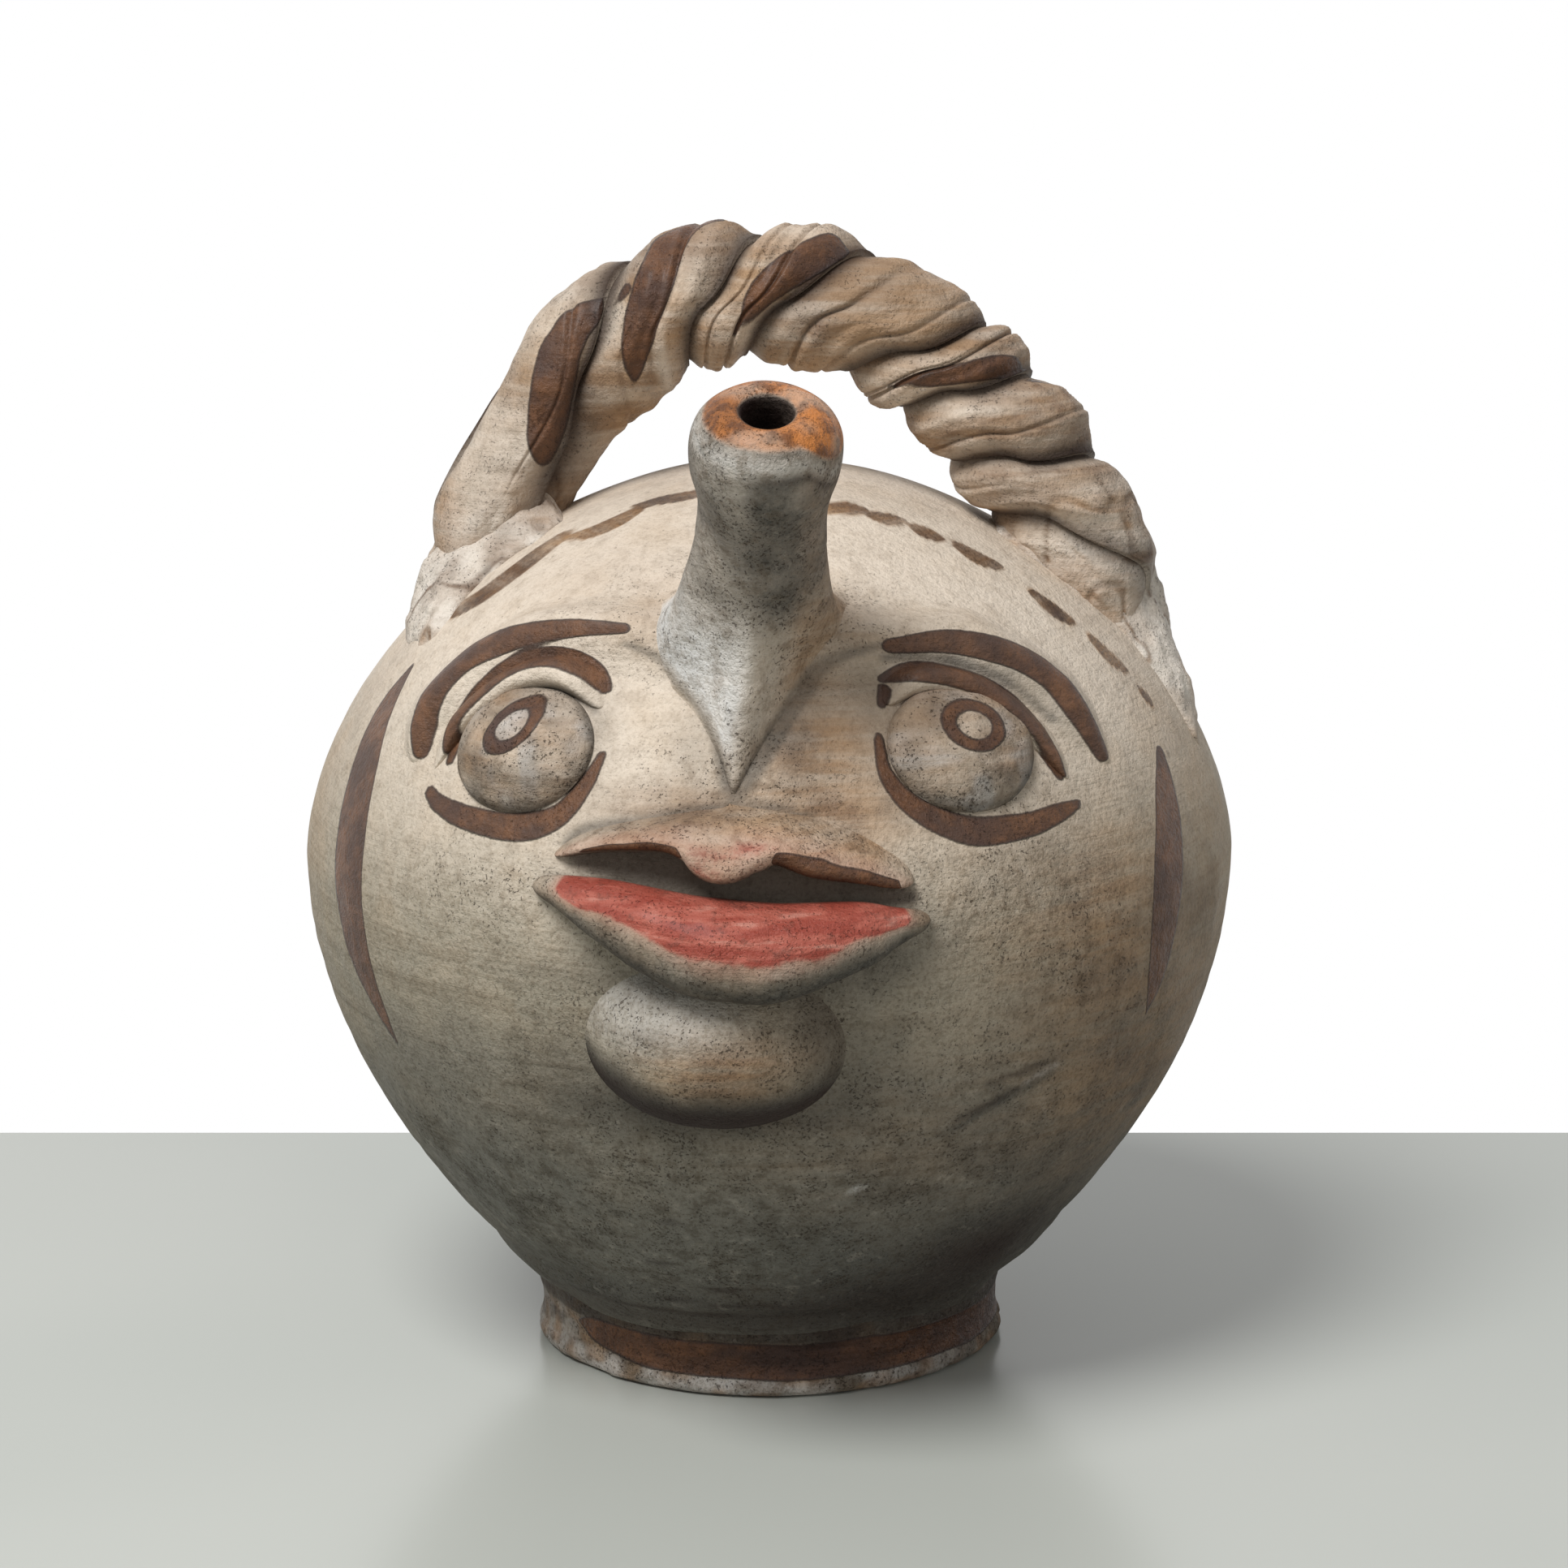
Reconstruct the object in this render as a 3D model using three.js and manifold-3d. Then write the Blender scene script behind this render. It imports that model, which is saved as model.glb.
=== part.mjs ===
// A clay jug in the shape of a face, with a nose for a spout and a twisted basket handle.
// Millimetres, +Z up. The face looks along -Y, and the origin is the middle of the foot's underside.
import * as THREE from 'three';
import { mergeVertices } from 'three/addons/utils/BufferGeometryUtils.js';
import Module from 'manifold-3d';

const wasm = await Module();
wasm.setup();

// Slip: the thin joint between two luted pieces
const SLIP_GAP = 0.3;

// Body: a parabolic bowl below the belly, and a dome above it
const BELLY_RADIUS = 105;
const BELLY_HEIGHT = 115;
const DOME_RISE = 87.5;
const DOME_SIDE_POWER = 1.05;
const DOME_TOP_POWER = 1.14;
const WALL = 6;
const BODY_SEGMENTS = 48;
const BOWL_STEPS = 7;
const DOME_STEPS = 12;
// Half the height over which the skin's slope is taken
const SLOPE_REACH = 0.05;

// Foot: a flat disc with a groove where it meets the bowl
const FOOT_HEIGHT = 14.5;
const FOOT_RADIUS = 53.5;
const FOOT_GROOVE = 1.5;
const FOOT_BEAD = 4;
const FOOT_EDGE = 1.2;
const SEAT_RADIUS = 52;

// Spout: place and slant on the dome, then its radii along its length
const SPOUT_TURN_DEGREES = 1.3;
const SPOUT_RISE = 59.5;
const SPOUT_LIFT_DEGREES = 54;
const SPOUT_SWING_DEGREES = 7;
const SPOUT_LENGTH = 69;
const SPOUT_NECK_RADIUS = 13.4;
const SPOUT_LIP_RADIUS = 15.1;
const SPOUT_LIP_DROP = 12;
const SPOUT_FLARE_RADIUS = 20;
const SPOUT_FLARE_DEPTH = 9;
const SPOUT_FLARE_LENGTH = 32;
const SPOUT_FLARE_POWER = 1.8;
const SPOUT_MOUTH_RADIUS = 5.7;
const SPOUT_BORE_RADIUS = 8.5;
const SPOUT_TENON_RADIUS = 13;
const SPOUT_TENON_REACH = 3;
const SPOUT_SEGMENTS = 28;
const FLARE_STEPS = 6;
const LIP_STEPS = 7;

// Handle: two strands of one twisted rope, arched from root to root
const GRIP_GAP = 21.5;
const ROPE_RADIUS = 15.8;
const ROPE_CREASE = 3.6;
const ROPE_CREASE_POWER = 6;
const ROPE_APEX_X = 1;
const LEFT_ROOT_DROP = 22.5;
const RIGHT_ROOT_DROP = 33;
const LEFT_SHOULDER_POWER = 2.8;
const RIGHT_SHOULDER_POWER = 2.15;
const ARCH_SIDE_STEPS = 8;
const ROPE_STATIONS = 52;
const ROPE_SIDES = 20;
const STRAND_ARC_STEPS = 8;
const STRAND_FLAT_STEPS = 4;
const ROPE_BURY = 9;
// Drawn thinner where it is pressed on: the share of its radius lost, over a share of its length
const ROPE_TAPER_RATIO = 0.45;
const ROPE_TAPER_LENGTH_SHARE = 0.16;
// Half turns of the twist from the left root on: at the start, the even rate, and what it gains
const TWIST_START_TURNS = -0.98;
const TWIST_EVEN_TURNS = 3.93;
const TWIST_GAIN_TURNS = 4.5;
// The twist stops short of the pressed ends, at these shares of the rope's length
const TWIST_FROM_SHARE = 0.06;
const TWIST_TO_SHARE = 0.86;

// Pressed balls. turn: degrees from the face's middle, to +X. rise: height above the belly.
const LEFT_EYE = { turn: -30, rise: 38.5, across: 16, up: 13.5, out: 10 };
const RIGHT_EYE = { turn: 30.5, rise: 40, across: 16, up: 13.5, out: 10 };
const CHIN = { turn: -2.5, rise: -20, across: 25, up: 16, out: 13 };

// Ridges of clay along a line on the body: [turn, rise, half width, relief] from end to end
const LEFT_BROW = [
  [-49.5, 31.5, 3, 2.5],
  [-49.5, 43, 5.5, 6],
  [-39.5, 54.5, 6, 7],
  [-22, 59.5, 3.5, 4],
];
const RIGHT_BROW = [
  [25, 57, 3.5, 4],
  [37.5, 55, 6, 7],
  [48.5, 46.5, 5.5, 6],
  [53.5, 32, 3, 2.5],
];
const LEFT_LID = [
  [-43.5, 31, 2, 2],
  [-42.5, 43, 3.5, 4],
  [-32, 52.5, 4.5, 5],
  [-20.5, 49.5, 2, 2],
];
const RIGHT_LID = [
  [21, 49.5, 2, 2],
  [29.5, 52.5, 4.5, 5],
  [40.5, 45, 3.5, 4],
  [45, 30.5, 2, 2],
];
const UPPER_LIP = [
  [-22, 18.3, 1.5, 2],
  [-13, 21, 4.5, 8],
  [-4.5, 22.5, 7, 12],
  [4.5, 22, 7, 12],
  [13, 18.8, 4.8, 8],
  [20, 13.8, 1.5, 2],
];
const LOWER_LIP = [
  [-24, 11, 1.8, 3],
  [-14, 7.5, 5.5, 11],
  [-4.5, 2.3, 8, 16],
  [5, 1.2, 8, 16],
  [14, 4.3, 5.5, 11],
  [22, 6.3, 1.5, 3],
];
const NOSE_RIDGE = [
  [2.2, 55, 15, 11],
  [1.8, 50, 15, 13],
  [1.3, 44, 9.5, 12],
  [0.8, 37, 5, 7],
  [0.6, 31.5, 1.5, 2.5],
];
// Smeared pads, placed from where the rope meets the dome: [forward, up, half width, relief]
const LEFT_ROOT = [
  [3, 14, 6, 4],
  [9, 6, 13, 6],
  [14, -3, 13, 4.5],
  [22, -12, 5, 2],
];
const RIGHT_ROOT = [
  [-9, 18.5, 12, 4],
  [-6, 6.5, 20, 5.5],
  [-3, -7.5, 14, 4],
  [5, -27.5, 4, 2],
];
// How far a lip's crest leans over the mouth, for each millimetre of relief
const LIP_LEAN_RATIO = 0.3;
// How sharp the crest of the ridge under the nose is: 1 is round
const NOSE_CREST_POWER = 1.6;
// How deep a ridge reaches below the body's skin before it is cut to it
const RIDGE_ROOT = 5;
const RIDGE_STEPS = 12;
const RIDGE_SIDES = 12;
const BALL_SEGMENTS = 20;

// Finishes: fired clay under slip, with painted strokes
const slip = new THREE.MeshStandardMaterial({ color: 0xcbbda6, roughness: 0.7, metalness: 0 });
const greyedSlip = new THREE.MeshStandardMaterial({ color: 0x8f877b, roughness: 0.65, metalness: 0 });
const brownStroke = new THREE.MeshStandardMaterial({ color: 0x6e4a36, roughness: 0.45, metalness: 0 });
const pinkStroke = new THREE.MeshStandardMaterial({ color: 0xc0695c, roughness: 0.5, metalness: 0 });
const handleClay = new THREE.MeshStandardMaterial({ color: 0xb49a84, roughness: 0.6, metalness: 0 });

const degrees = THREE.MathUtils.degToRad;
const CROWN_HEIGHT = BELLY_HEIGHT + DOME_RISE;

// The jug's skin, shared by the body, its hollow and every piece that sits on it
const skin = {
  bellyRadius: BELLY_RADIUS,
  domeRise: DOME_RISE,
  seatRadius: SEAT_RADIUS,
  seatHeight: FOOT_HEIGHT + SLIP_GAP,
};

// The same form with its walls moved out, or in where grow is negative
function grownSkin(grow) {
  return {
    bellyRadius: skin.bellyRadius + grow,
    domeRise: skin.domeRise + grow,
    seatRadius: skin.seatRadius + grow,
    seatHeight: skin.seatHeight - grow,
  };
}

function bowlRadius(form, height) {
  const below = (BELLY_HEIGHT - height) / (BELLY_HEIGHT - form.seatHeight);
  return form.bellyRadius - (form.bellyRadius - form.seatRadius) * below ** 2;
}

function domePoint(form, angle) {
  const radius = form.bellyRadius * Math.max(Math.cos(angle), 0) ** DOME_SIDE_POWER;
  return new THREE.Vector2(radius, BELLY_HEIGHT + form.domeRise * Math.sin(angle) ** DOME_TOP_POWER);
}

function skinRadius(height) {
  if (height < BELLY_HEIGHT) {
    return bowlRadius(skin, height);
  }
  const climb = Math.min((height - BELLY_HEIGHT) / skin.domeRise, 1);
  return domePoint(skin, Math.asin(climb ** (1 / DOME_TOP_POWER))).x;
}

// A point on the skin, with its outward normal and the two directions along the skin there
function skinPlace(turn, rise) {
  const height = BELLY_HEIGHT + rise;
  const rising = skinRadius(height + SLOPE_REACH) - skinRadius(height - SLOPE_REACH);
  const slope = rising / (2 * SLOPE_REACH);
  const angle = degrees(turn);
  const outward = new THREE.Vector3(Math.sin(angle), -Math.cos(angle), 0);
  const across = new THREE.Vector3(Math.cos(angle), Math.sin(angle), 0);
  const point = outward.clone().multiplyScalar(skinRadius(height)).setZ(height);
  const normal = outward.clone().setZ(-slope).normalize();
  return { point, normal, across, up: new THREE.Vector3().crossVectors(normal, across).normalize() };
}

function solid(geometry) {
  const bare = geometry.clone();
  bare.deleteAttribute('normal');
  bare.deleteAttribute('uv');
  const merged = mergeVertices(bare, 1e-4);
  const vertProperties = new Float32Array(merged.attributes.position.array);
  const triVerts = new Uint32Array(merged.index.array);
  return new wasm.Manifold(new wasm.Mesh({ numProp: 3, vertProperties, triVerts }));
}

function piece(name, body, material) {
  const cut = body.getMesh();
  const geometry = new THREE.BufferGeometry();
  geometry.setAttribute('position', new THREE.BufferAttribute(new Float32Array(cut.vertProperties), 3));
  geometry.setIndex(new THREE.BufferAttribute(new Uint32Array(cut.triVerts), 1));
  geometry.computeVertexNormals();
  const mesh = new THREE.Mesh(geometry, material);
  mesh.name = name;
  return mesh;
}

// A lathe about +Z. Profiles run upwards from the axis, so that the faces point out.
function turned(profile, segments) {
  const geometry = new THREE.LatheGeometry(profile, segments);
  geometry.rotateX(Math.PI / 2);
  return geometry;
}

// A closed skin over rings of points, from the first ring to the last. Each quad between two rings is
// split along the diagonal that bulges out, or along the other one where drawsIn(column) is true.
function skinned(rings, drawsIn = () => false) {
  const sides = rings[0].length;
  const middle = (points) =>
    points.reduce((sum, p) => sum.add(p), new THREE.Vector3()).divideScalar(points.length);
  const middles = rings.map(middle);
  const points = [...rings.flat(), middles[0], middles.at(-1)];
  const firstMiddle = points.length - 2;
  const lastMiddle = points.length - 1;
  const lastRing = (rings.length - 1) * sides;
  const triangles = [];
  for (let j = 0; j < sides; j++) {
    const next = (j + 1) % sides;
    triangles.push(firstMiddle, next, j, lastMiddle, lastRing + j, lastRing + next);
    for (let i = 0; i < rings.length - 1; i++) {
      const low = i * sides;
      const high = low + sides;
      const centre = middle([middles[i], middles[i + 1]]);
      const forward = middle([points[low + j], points[high + next]]).distanceTo(centre);
      const backward = middle([points[low + next], points[high + j]]).distanceTo(centre);
      if (forward > backward !== drawsIn(j)) {
        triangles.push(low + j, low + next, high + next, low + j, high + next, high + j);
      } else {
        triangles.push(low + j, low + next, high + j, low + next, high + next, high + j);
      }
    }
  }
  const geometry = new THREE.BufferGeometry();
  geometry.setFromPoints(points);
  geometry.setIndex(triangles);
  return geometry;
}

function vesselProfile(form) {
  const points = [new THREE.Vector2(0, form.seatHeight)];
  for (let i = 0; i < BOWL_STEPS; i++) {
    const height = THREE.MathUtils.lerp(form.seatHeight, BELLY_HEIGHT, i / BOWL_STEPS);
    points.push(new THREE.Vector2(bowlRadius(form, height), height));
  }
  for (let i = 0; i <= DOME_STEPS; i++) {
    points.push(domePoint(form, (i / DOME_STEPS) * Math.PI / 2));
  }
  points.at(-1).x = 0;
  return points;
}

const vessel = (grow) => solid(turned(vesselProfile(grownSkin(grow)), BODY_SEGMENTS));

// What every luted piece is cut by, so that it follows the body with a slip joint
const bodyCutter = vessel(SLIP_GAP);

function seated(body, ...neighbours) {
  return neighbours.reduce((left, other) => left.subtract(other), body.subtract(bodyCutter));
}

// A pressed ball of clay, half sunk in the body
function ball({ turn, rise, across, up, out }, grow = 0) {
  const place = skinPlace(turn, rise);
  const geometry = new THREE.SphereGeometry(1, BALL_SEGMENTS, BALL_SEGMENTS / 2);
  geometry.scale(across + grow, up + grow, out + grow);
  const frame = new THREE.Matrix4().makeBasis(place.across, place.up, place.normal);
  geometry.applyMatrix4(frame.setPosition(place.point));
  return solid(geometry);
}

// A ridge of clay along a line on the body. lean moves its crest up the body, or down where negative.
function ridge(rows, { grow = 0, lean = 0, crest = 1 } = {}) {
  const line = new THREE.CatmullRomCurve3(rows.map(([turn, rise]) => new THREE.Vector3(turn, rise, 0)));
  const sizes = new THREE.CatmullRomCurve3(
    rows.map(([, , width, relief]) => new THREE.Vector3(width, relief, 0)),
  );
  const places = [];
  for (let i = 0; i <= RIDGE_STEPS; i++) {
    const at = line.getPoint(i / RIDGE_STEPS);
    places.push(skinPlace(at.x, at.y));
  }
  const rings = places.map((place, i) => {
    const before = places[Math.max(i - 1, 0)].point;
    const after = places[Math.min(i + 1, RIDGE_STEPS)].point;
    const along = new THREE.Vector3().subVectors(after, before).normalize();
    const side = new THREE.Vector3().crossVectors(place.normal, along).normalize();
    const size = sizes.getPoint(i / RIDGE_STEPS);
    const endGrow = { 0: -grow, [RIDGE_STEPS]: grow }[i] ?? 0;
    const ring = [];
    for (let j = 0; j < RIDGE_SIDES; j++) {
      const angle = (2 * Math.PI * j) / RIDGE_SIDES;
      const high = Math.max(Math.sin(angle), 0) ** crest * (size.y + grow);
      const deep = Math.min(Math.sin(angle), 0) * RIDGE_ROOT;
      const wide = Math.cos(angle) * (size.x + grow);
      ring.push(
        place.point
          .clone()
          .addScaledVector(along, endGrow)
          .addScaledVector(side, wide)
          .addScaledVector(place.up, lean * high)
          .addScaledVector(place.normal, high + deep),
      );
    }
    return ring;
  });
  return solid(skinned(rings));
}

// A pad's line, as turns and rises on the body
function rootLine(side, drop, rows) {
  return rows.map(([forward, up, halfWidth, relief]) => {
    const rise = DOME_RISE - drop + up;
    const ahead = THREE.MathUtils.radToDeg(forward / skinRadius(BELLY_HEIGHT + rise));
    return [side * (90 - ahead), rise, halfWidth, relief];
  });
}

// Foot
function footProfile() {
  const grooveRadius = SEAT_RADIUS - FOOT_GROOVE;
  return [
    new THREE.Vector2(0, 0),
    new THREE.Vector2(FOOT_RADIUS - FOOT_EDGE, 0),
    new THREE.Vector2(FOOT_RADIUS, FOOT_EDGE),
    new THREE.Vector2(FOOT_RADIUS - FOOT_EDGE, FOOT_HEIGHT / 2),
    new THREE.Vector2(FOOT_RADIUS, FOOT_HEIGHT - FOOT_BEAD),
    new THREE.Vector2(FOOT_RADIUS - FOOT_EDGE, FOOT_HEIGHT - FOOT_EDGE),
    new THREE.Vector2(grooveRadius, FOOT_HEIGHT),
    new THREE.Vector2(0, FOOT_HEIGHT),
  ];
}

// Spout: shaped about +Z, then stood on the dome along its axis
const spoutPlace = skinPlace(SPOUT_TURN_DEGREES, SPOUT_RISE);
const spoutHeading = degrees(SPOUT_TURN_DEGREES + SPOUT_SWING_DEGREES);
const spoutAxis = new THREE.Vector3(
  Math.sin(spoutHeading) * Math.cos(degrees(SPOUT_LIFT_DEGREES)),
  -Math.cos(spoutHeading) * Math.cos(degrees(SPOUT_LIFT_DEGREES)),
  Math.sin(degrees(SPOUT_LIFT_DEGREES)),
);
const spoutFrame = new THREE.Matrix4()
  .makeRotationFromQuaternion(
    new THREE.Quaternion().setFromUnitVectors(new THREE.Vector3(0, 0, 1), spoutAxis),
  )
  .setPosition(spoutPlace.point);
const tenonFoot = -(WALL + SPOUT_TENON_REACH) / spoutAxis.dot(spoutPlace.normal);
const flareFoot = -SPOUT_FLARE_DEPTH;

const alongSpout = (profile) => solid(turned(profile, SPOUT_SEGMENTS).applyMatrix4(spoutFrame));

function rod(radius, from, to) {
  return alongSpout([
    new THREE.Vector2(0, from),
    new THREE.Vector2(radius, from),
    new THREE.Vector2(radius, to),
    new THREE.Vector2(0, to),
  ]);
}

// Outside of the spout: a flare that meets the dome, a neck and a ball lip
function spoutOutside(grow = 0) {
  const lipHeight = SPOUT_LENGTH - SPOUT_LIP_DROP;
  const points = [new THREE.Vector2(0, flareFoot)];
  for (let i = 0; i <= FLARE_STEPS; i++) {
    const along = THREE.MathUtils.lerp(flareFoot, SPOUT_FLARE_LENGTH, i / FLARE_STEPS);
    const left = (1 - i / FLARE_STEPS) ** SPOUT_FLARE_POWER;
    const radius = SPOUT_NECK_RADIUS + (SPOUT_FLARE_RADIUS - SPOUT_NECK_RADIUS) * left;
    points.push(new THREE.Vector2(radius + grow, along));
  }
  const lipReach = SPOUT_LIP_RADIUS - SPOUT_MOUTH_RADIUS;
  const lipStart = -Math.acos(Math.min((SPOUT_NECK_RADIUS - SPOUT_MOUTH_RADIUS) / lipReach, 1));
  for (let i = 0; i <= LIP_STEPS; i++) {
    const angle = THREE.MathUtils.lerp(lipStart, Math.PI / 2, i / LIP_STEPS);
    const round = lipReach * Math.cos(angle);
    const rise = SPOUT_LIP_DROP * Math.sin(angle);
    points.push(new THREE.Vector2(SPOUT_MOUTH_RADIUS + round + grow, lipHeight + rise + grow));
  }
  points.push(new THREE.Vector2(0, SPOUT_LENGTH + grow));
  return alongSpout(points);
}

function spoutBore() {
  const beyond = SPOUT_LIP_RADIUS;
  return alongSpout([
    new THREE.Vector2(0, tenonFoot - beyond),
    new THREE.Vector2(SPOUT_BORE_RADIUS, tenonFoot - beyond),
    new THREE.Vector2(SPOUT_BORE_RADIUS, SPOUT_FLARE_LENGTH),
    new THREE.Vector2(SPOUT_MOUTH_RADIUS, SPOUT_LENGTH - SPOUT_LIP_DROP),
    new THREE.Vector2(SPOUT_MOUTH_RADIUS, SPOUT_LENGTH + beyond),
    new THREE.Vector2(0, SPOUT_LENGTH + beyond),
  ]);
}

// Handle: an arch over the crown, whose two sides have shoulders of their own
const apexHeight = CROWN_HEIGHT + GRIP_GAP + ROPE_RADIUS;

function archEnd(side, drop) {
  const height = CROWN_HEIGHT - drop;
  return new THREE.Vector3(side * skinRadius(height), 0, height);
}

function archCurve() {
  const left = archEnd(-1, LEFT_ROOT_DROP);
  const right = archEnd(1, RIGHT_ROOT_DROP);
  const apex = new THREE.Vector3(ROPE_APEX_X, 0, apexHeight);
  const points = [];
  const sidePoint = (end, power, share) =>
    new THREE.Vector3(
      THREE.MathUtils.lerp(apex.x, end.x, share),
      0,
      THREE.MathUtils.lerp(apex.z, end.z, share ** power),
    );
  for (let i = ARCH_SIDE_STEPS; i >= 1; i--) {
    points.push(sidePoint(left, LEFT_SHOULDER_POWER, i / ARCH_SIDE_STEPS));
  }
  points.push(apex);
  for (let i = 1; i <= ARCH_SIDE_STEPS; i++) {
    points.push(sidePoint(right, RIGHT_SHOULDER_POWER, i / ARCH_SIDE_STEPS));
  }
  const buried = (end, before) => {
    const heading = new THREE.Vector3().subVectors(end, before).normalize();
    return end.clone().addScaledVector(heading, ROPE_BURY);
  };
  const first = buried(points[0], points[1]);
  const last = buried(points.at(-1), points.at(-2));
  return new THREE.CatmullRomCurve3([first, ...points, last]);
}

const arch = archCurve();

// Stations along the rope, with the rope's outward direction and the way to the front
const ropeStations = Array.from({ length: ROPE_STATIONS + 1 }, (_, i) => {
  const share = i / ROPE_STATIONS;
  const pressed = Math.max(1 - Math.min(share, 1 - share) / ROPE_TAPER_LENGTH_SHARE, 0);
  const twisted = THREE.MathUtils.clamp(share, TWIST_FROM_SHARE, TWIST_TO_SHARE);
  const along = arch.getTangentAt(share);
  const front = new THREE.Vector3(0, -1, 0);
  return {
    point: arch.getPointAt(share),
    front,
    outward: new THREE.Vector3().crossVectors(front, along).normalize(),
    thick: 1 - ROPE_TAPER_RATIO * pressed ** 2,
    twist: Math.PI * (TWIST_START_TURNS + TWIST_EVEN_TURNS * twisted + TWIST_GAIN_TURNS * twisted ** 2),
  };
});

// One strand's section: half of a round rope, with its two corners drawn in to make the creases
function strandSection() {
  const points = [];
  for (let i = 0; i <= STRAND_ARC_STEPS; i++) {
    const angle = THREE.MathUtils.lerp(-0.5, 0.5, i / STRAND_ARC_STEPS) * Math.PI;
    const radius = ROPE_RADIUS - ROPE_CREASE * Math.abs(Math.sin(angle)) ** ROPE_CREASE_POWER;
    points.push(new THREE.Vector2(radius * Math.cos(angle) + SLIP_GAP, radius * Math.sin(angle)));
  }
  for (let i = 1; i < STRAND_FLAT_STEPS; i++) {
    const height = (ROPE_RADIUS - ROPE_CREASE) * (1 - (2 * i) / STRAND_FLAT_STEPS);
    points.push(new THREE.Vector2(SLIP_GAP, height));
  }
  return points;
}

function ropePoint({ point, outward, front, thick, twist }, across, along) {
  const cos = thick * Math.cos(twist);
  const sin = thick * Math.sin(twist);
  return point
    .clone()
    .addScaledVector(outward, across * cos + along * sin)
    .addScaledVector(front, along * cos - across * sin);
}

function strand(side) {
  const section = strandSection();
  const rings = ropeStations.map((station) =>
    section.map(({ x, y }) => ropePoint(station, side * x, side * y)),
  );
  return solid(skinned(rings, (column) => column >= STRAND_ARC_STEPS));
}

// The whole rope with a slip joint round it, which the roots are cut by
function ropeCutter() {
  const radius = (ROPE_RADIUS + 2 * SLIP_GAP) / Math.cos(Math.PI / ROPE_SIDES);
  const rings = ropeStations.map((station) =>
    Array.from({ length: ROPE_SIDES }, (_, j) => {
      const angle = (2 * Math.PI * j) / ROPE_SIDES;
      return ropePoint({ ...station, twist: 0 }, radius * Math.cos(angle), radius * Math.sin(angle));
    }),
  );
  return solid(skinned(rings));
}

const tenonHole = rod(SPOUT_TENON_RADIUS + SLIP_GAP, 2 * tenonFoot, SPOUT_LENGTH);
const bodyShell = vessel(0).subtract(vessel(-WALL)).subtract(tenonHole);
const tenon = rod(SPOUT_TENON_RADIUS, tenonFoot, SPOUT_FLARE_LENGTH / 2);
const spout = seated(spoutOutside()).add(tenon).subtract(spoutBore());
const spoutCutter = spoutOutside(SLIP_GAP);
const upperLipCutter = ridge(UPPER_LIP, { grow: SLIP_GAP, lean: -LIP_LEAN_RATIO });
const lowerLipCutter = ridge(LOWER_LIP, { grow: SLIP_GAP, lean: LIP_LEAN_RATIO });
const rope = ropeCutter();

function face() {
  const group = new THREE.Group();
  const eyes = [
    ['left', LEFT_EYE, LEFT_BROW, LEFT_LID],
    ['right', RIGHT_EYE, RIGHT_BROW, RIGHT_LID],
  ];
  for (const [side, eye, brow, lid] of eyes) {
    const lidCutters = [ball(eye, SLIP_GAP), ridge(brow, { grow: SLIP_GAP })];
    group.add(
      piece(`${side}_eyeball`, seated(ball(eye)), slip),
      piece(`${side}_brow`, seated(ridge(brow), spoutCutter), brownStroke),
      piece(`${side}_upper_eyelid`, seated(ridge(lid), ...lidCutters), brownStroke),
    );
  }
  const noseRidge = ridge(NOSE_RIDGE, { crest: NOSE_CREST_POWER });
  const upperLip = ridge(UPPER_LIP, { lean: -LIP_LEAN_RATIO });
  const lowerLip = ridge(LOWER_LIP, { lean: LIP_LEAN_RATIO });
  group.add(
    piece('nose_ridge', seated(noseRidge, spoutCutter, upperLipCutter), greyedSlip),
    piece('upper_lip', seated(upperLip), pinkStroke),
    piece('lower_lip', seated(lowerLip, upperLipCutter), pinkStroke),
    piece('chin_boss', seated(ball(CHIN), lowerLipCutter), greyedSlip),
  );
  return group;
}

function handle() {
  const leftRoot = rootLine(-1, LEFT_ROOT_DROP, LEFT_ROOT);
  const rightRoot = rootLine(1, RIGHT_ROOT_DROP, RIGHT_ROOT);
  const group = new THREE.Group();
  group.add(
    piece('handle_strand_a', seated(strand(1)), handleClay),
    piece('handle_strand_b', seated(strand(-1)), handleClay),
    piece('left_handle_root', seated(ridge(leftRoot), rope), handleClay),
    piece('right_handle_root', seated(ridge(rightRoot), rope), handleClay),
  );
  return group;
}

const jug = new THREE.Group();
jug.add(
  piece('body_shell', bodyShell, slip),
  piece('foot_disc', solid(turned(footProfile(), BODY_SEGMENTS)), brownStroke),
  piece('spout', spout, greyedSlip),
  face(),
  handle(),
);

export default jug;
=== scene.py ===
"""The looks of a clay jug in the shape of a face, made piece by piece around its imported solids.
Shapes are worked out in millimetres and set down in metres."""
import math
import bpy
import numpy as np
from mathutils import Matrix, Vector


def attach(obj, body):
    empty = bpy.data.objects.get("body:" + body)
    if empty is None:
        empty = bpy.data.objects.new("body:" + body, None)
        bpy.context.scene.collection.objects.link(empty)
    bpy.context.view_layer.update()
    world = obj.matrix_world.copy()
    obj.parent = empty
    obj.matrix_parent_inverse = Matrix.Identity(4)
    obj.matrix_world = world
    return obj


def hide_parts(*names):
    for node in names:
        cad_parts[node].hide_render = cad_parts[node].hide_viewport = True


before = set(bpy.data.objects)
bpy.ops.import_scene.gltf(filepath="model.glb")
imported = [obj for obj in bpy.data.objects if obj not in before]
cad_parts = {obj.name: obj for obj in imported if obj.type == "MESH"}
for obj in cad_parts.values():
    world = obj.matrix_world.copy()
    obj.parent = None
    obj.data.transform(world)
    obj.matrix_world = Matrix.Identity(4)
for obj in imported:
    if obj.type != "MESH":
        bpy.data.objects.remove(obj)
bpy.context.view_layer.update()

MM = 0.001
UP = np.array([0.0, 0.0, 1.0])

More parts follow.
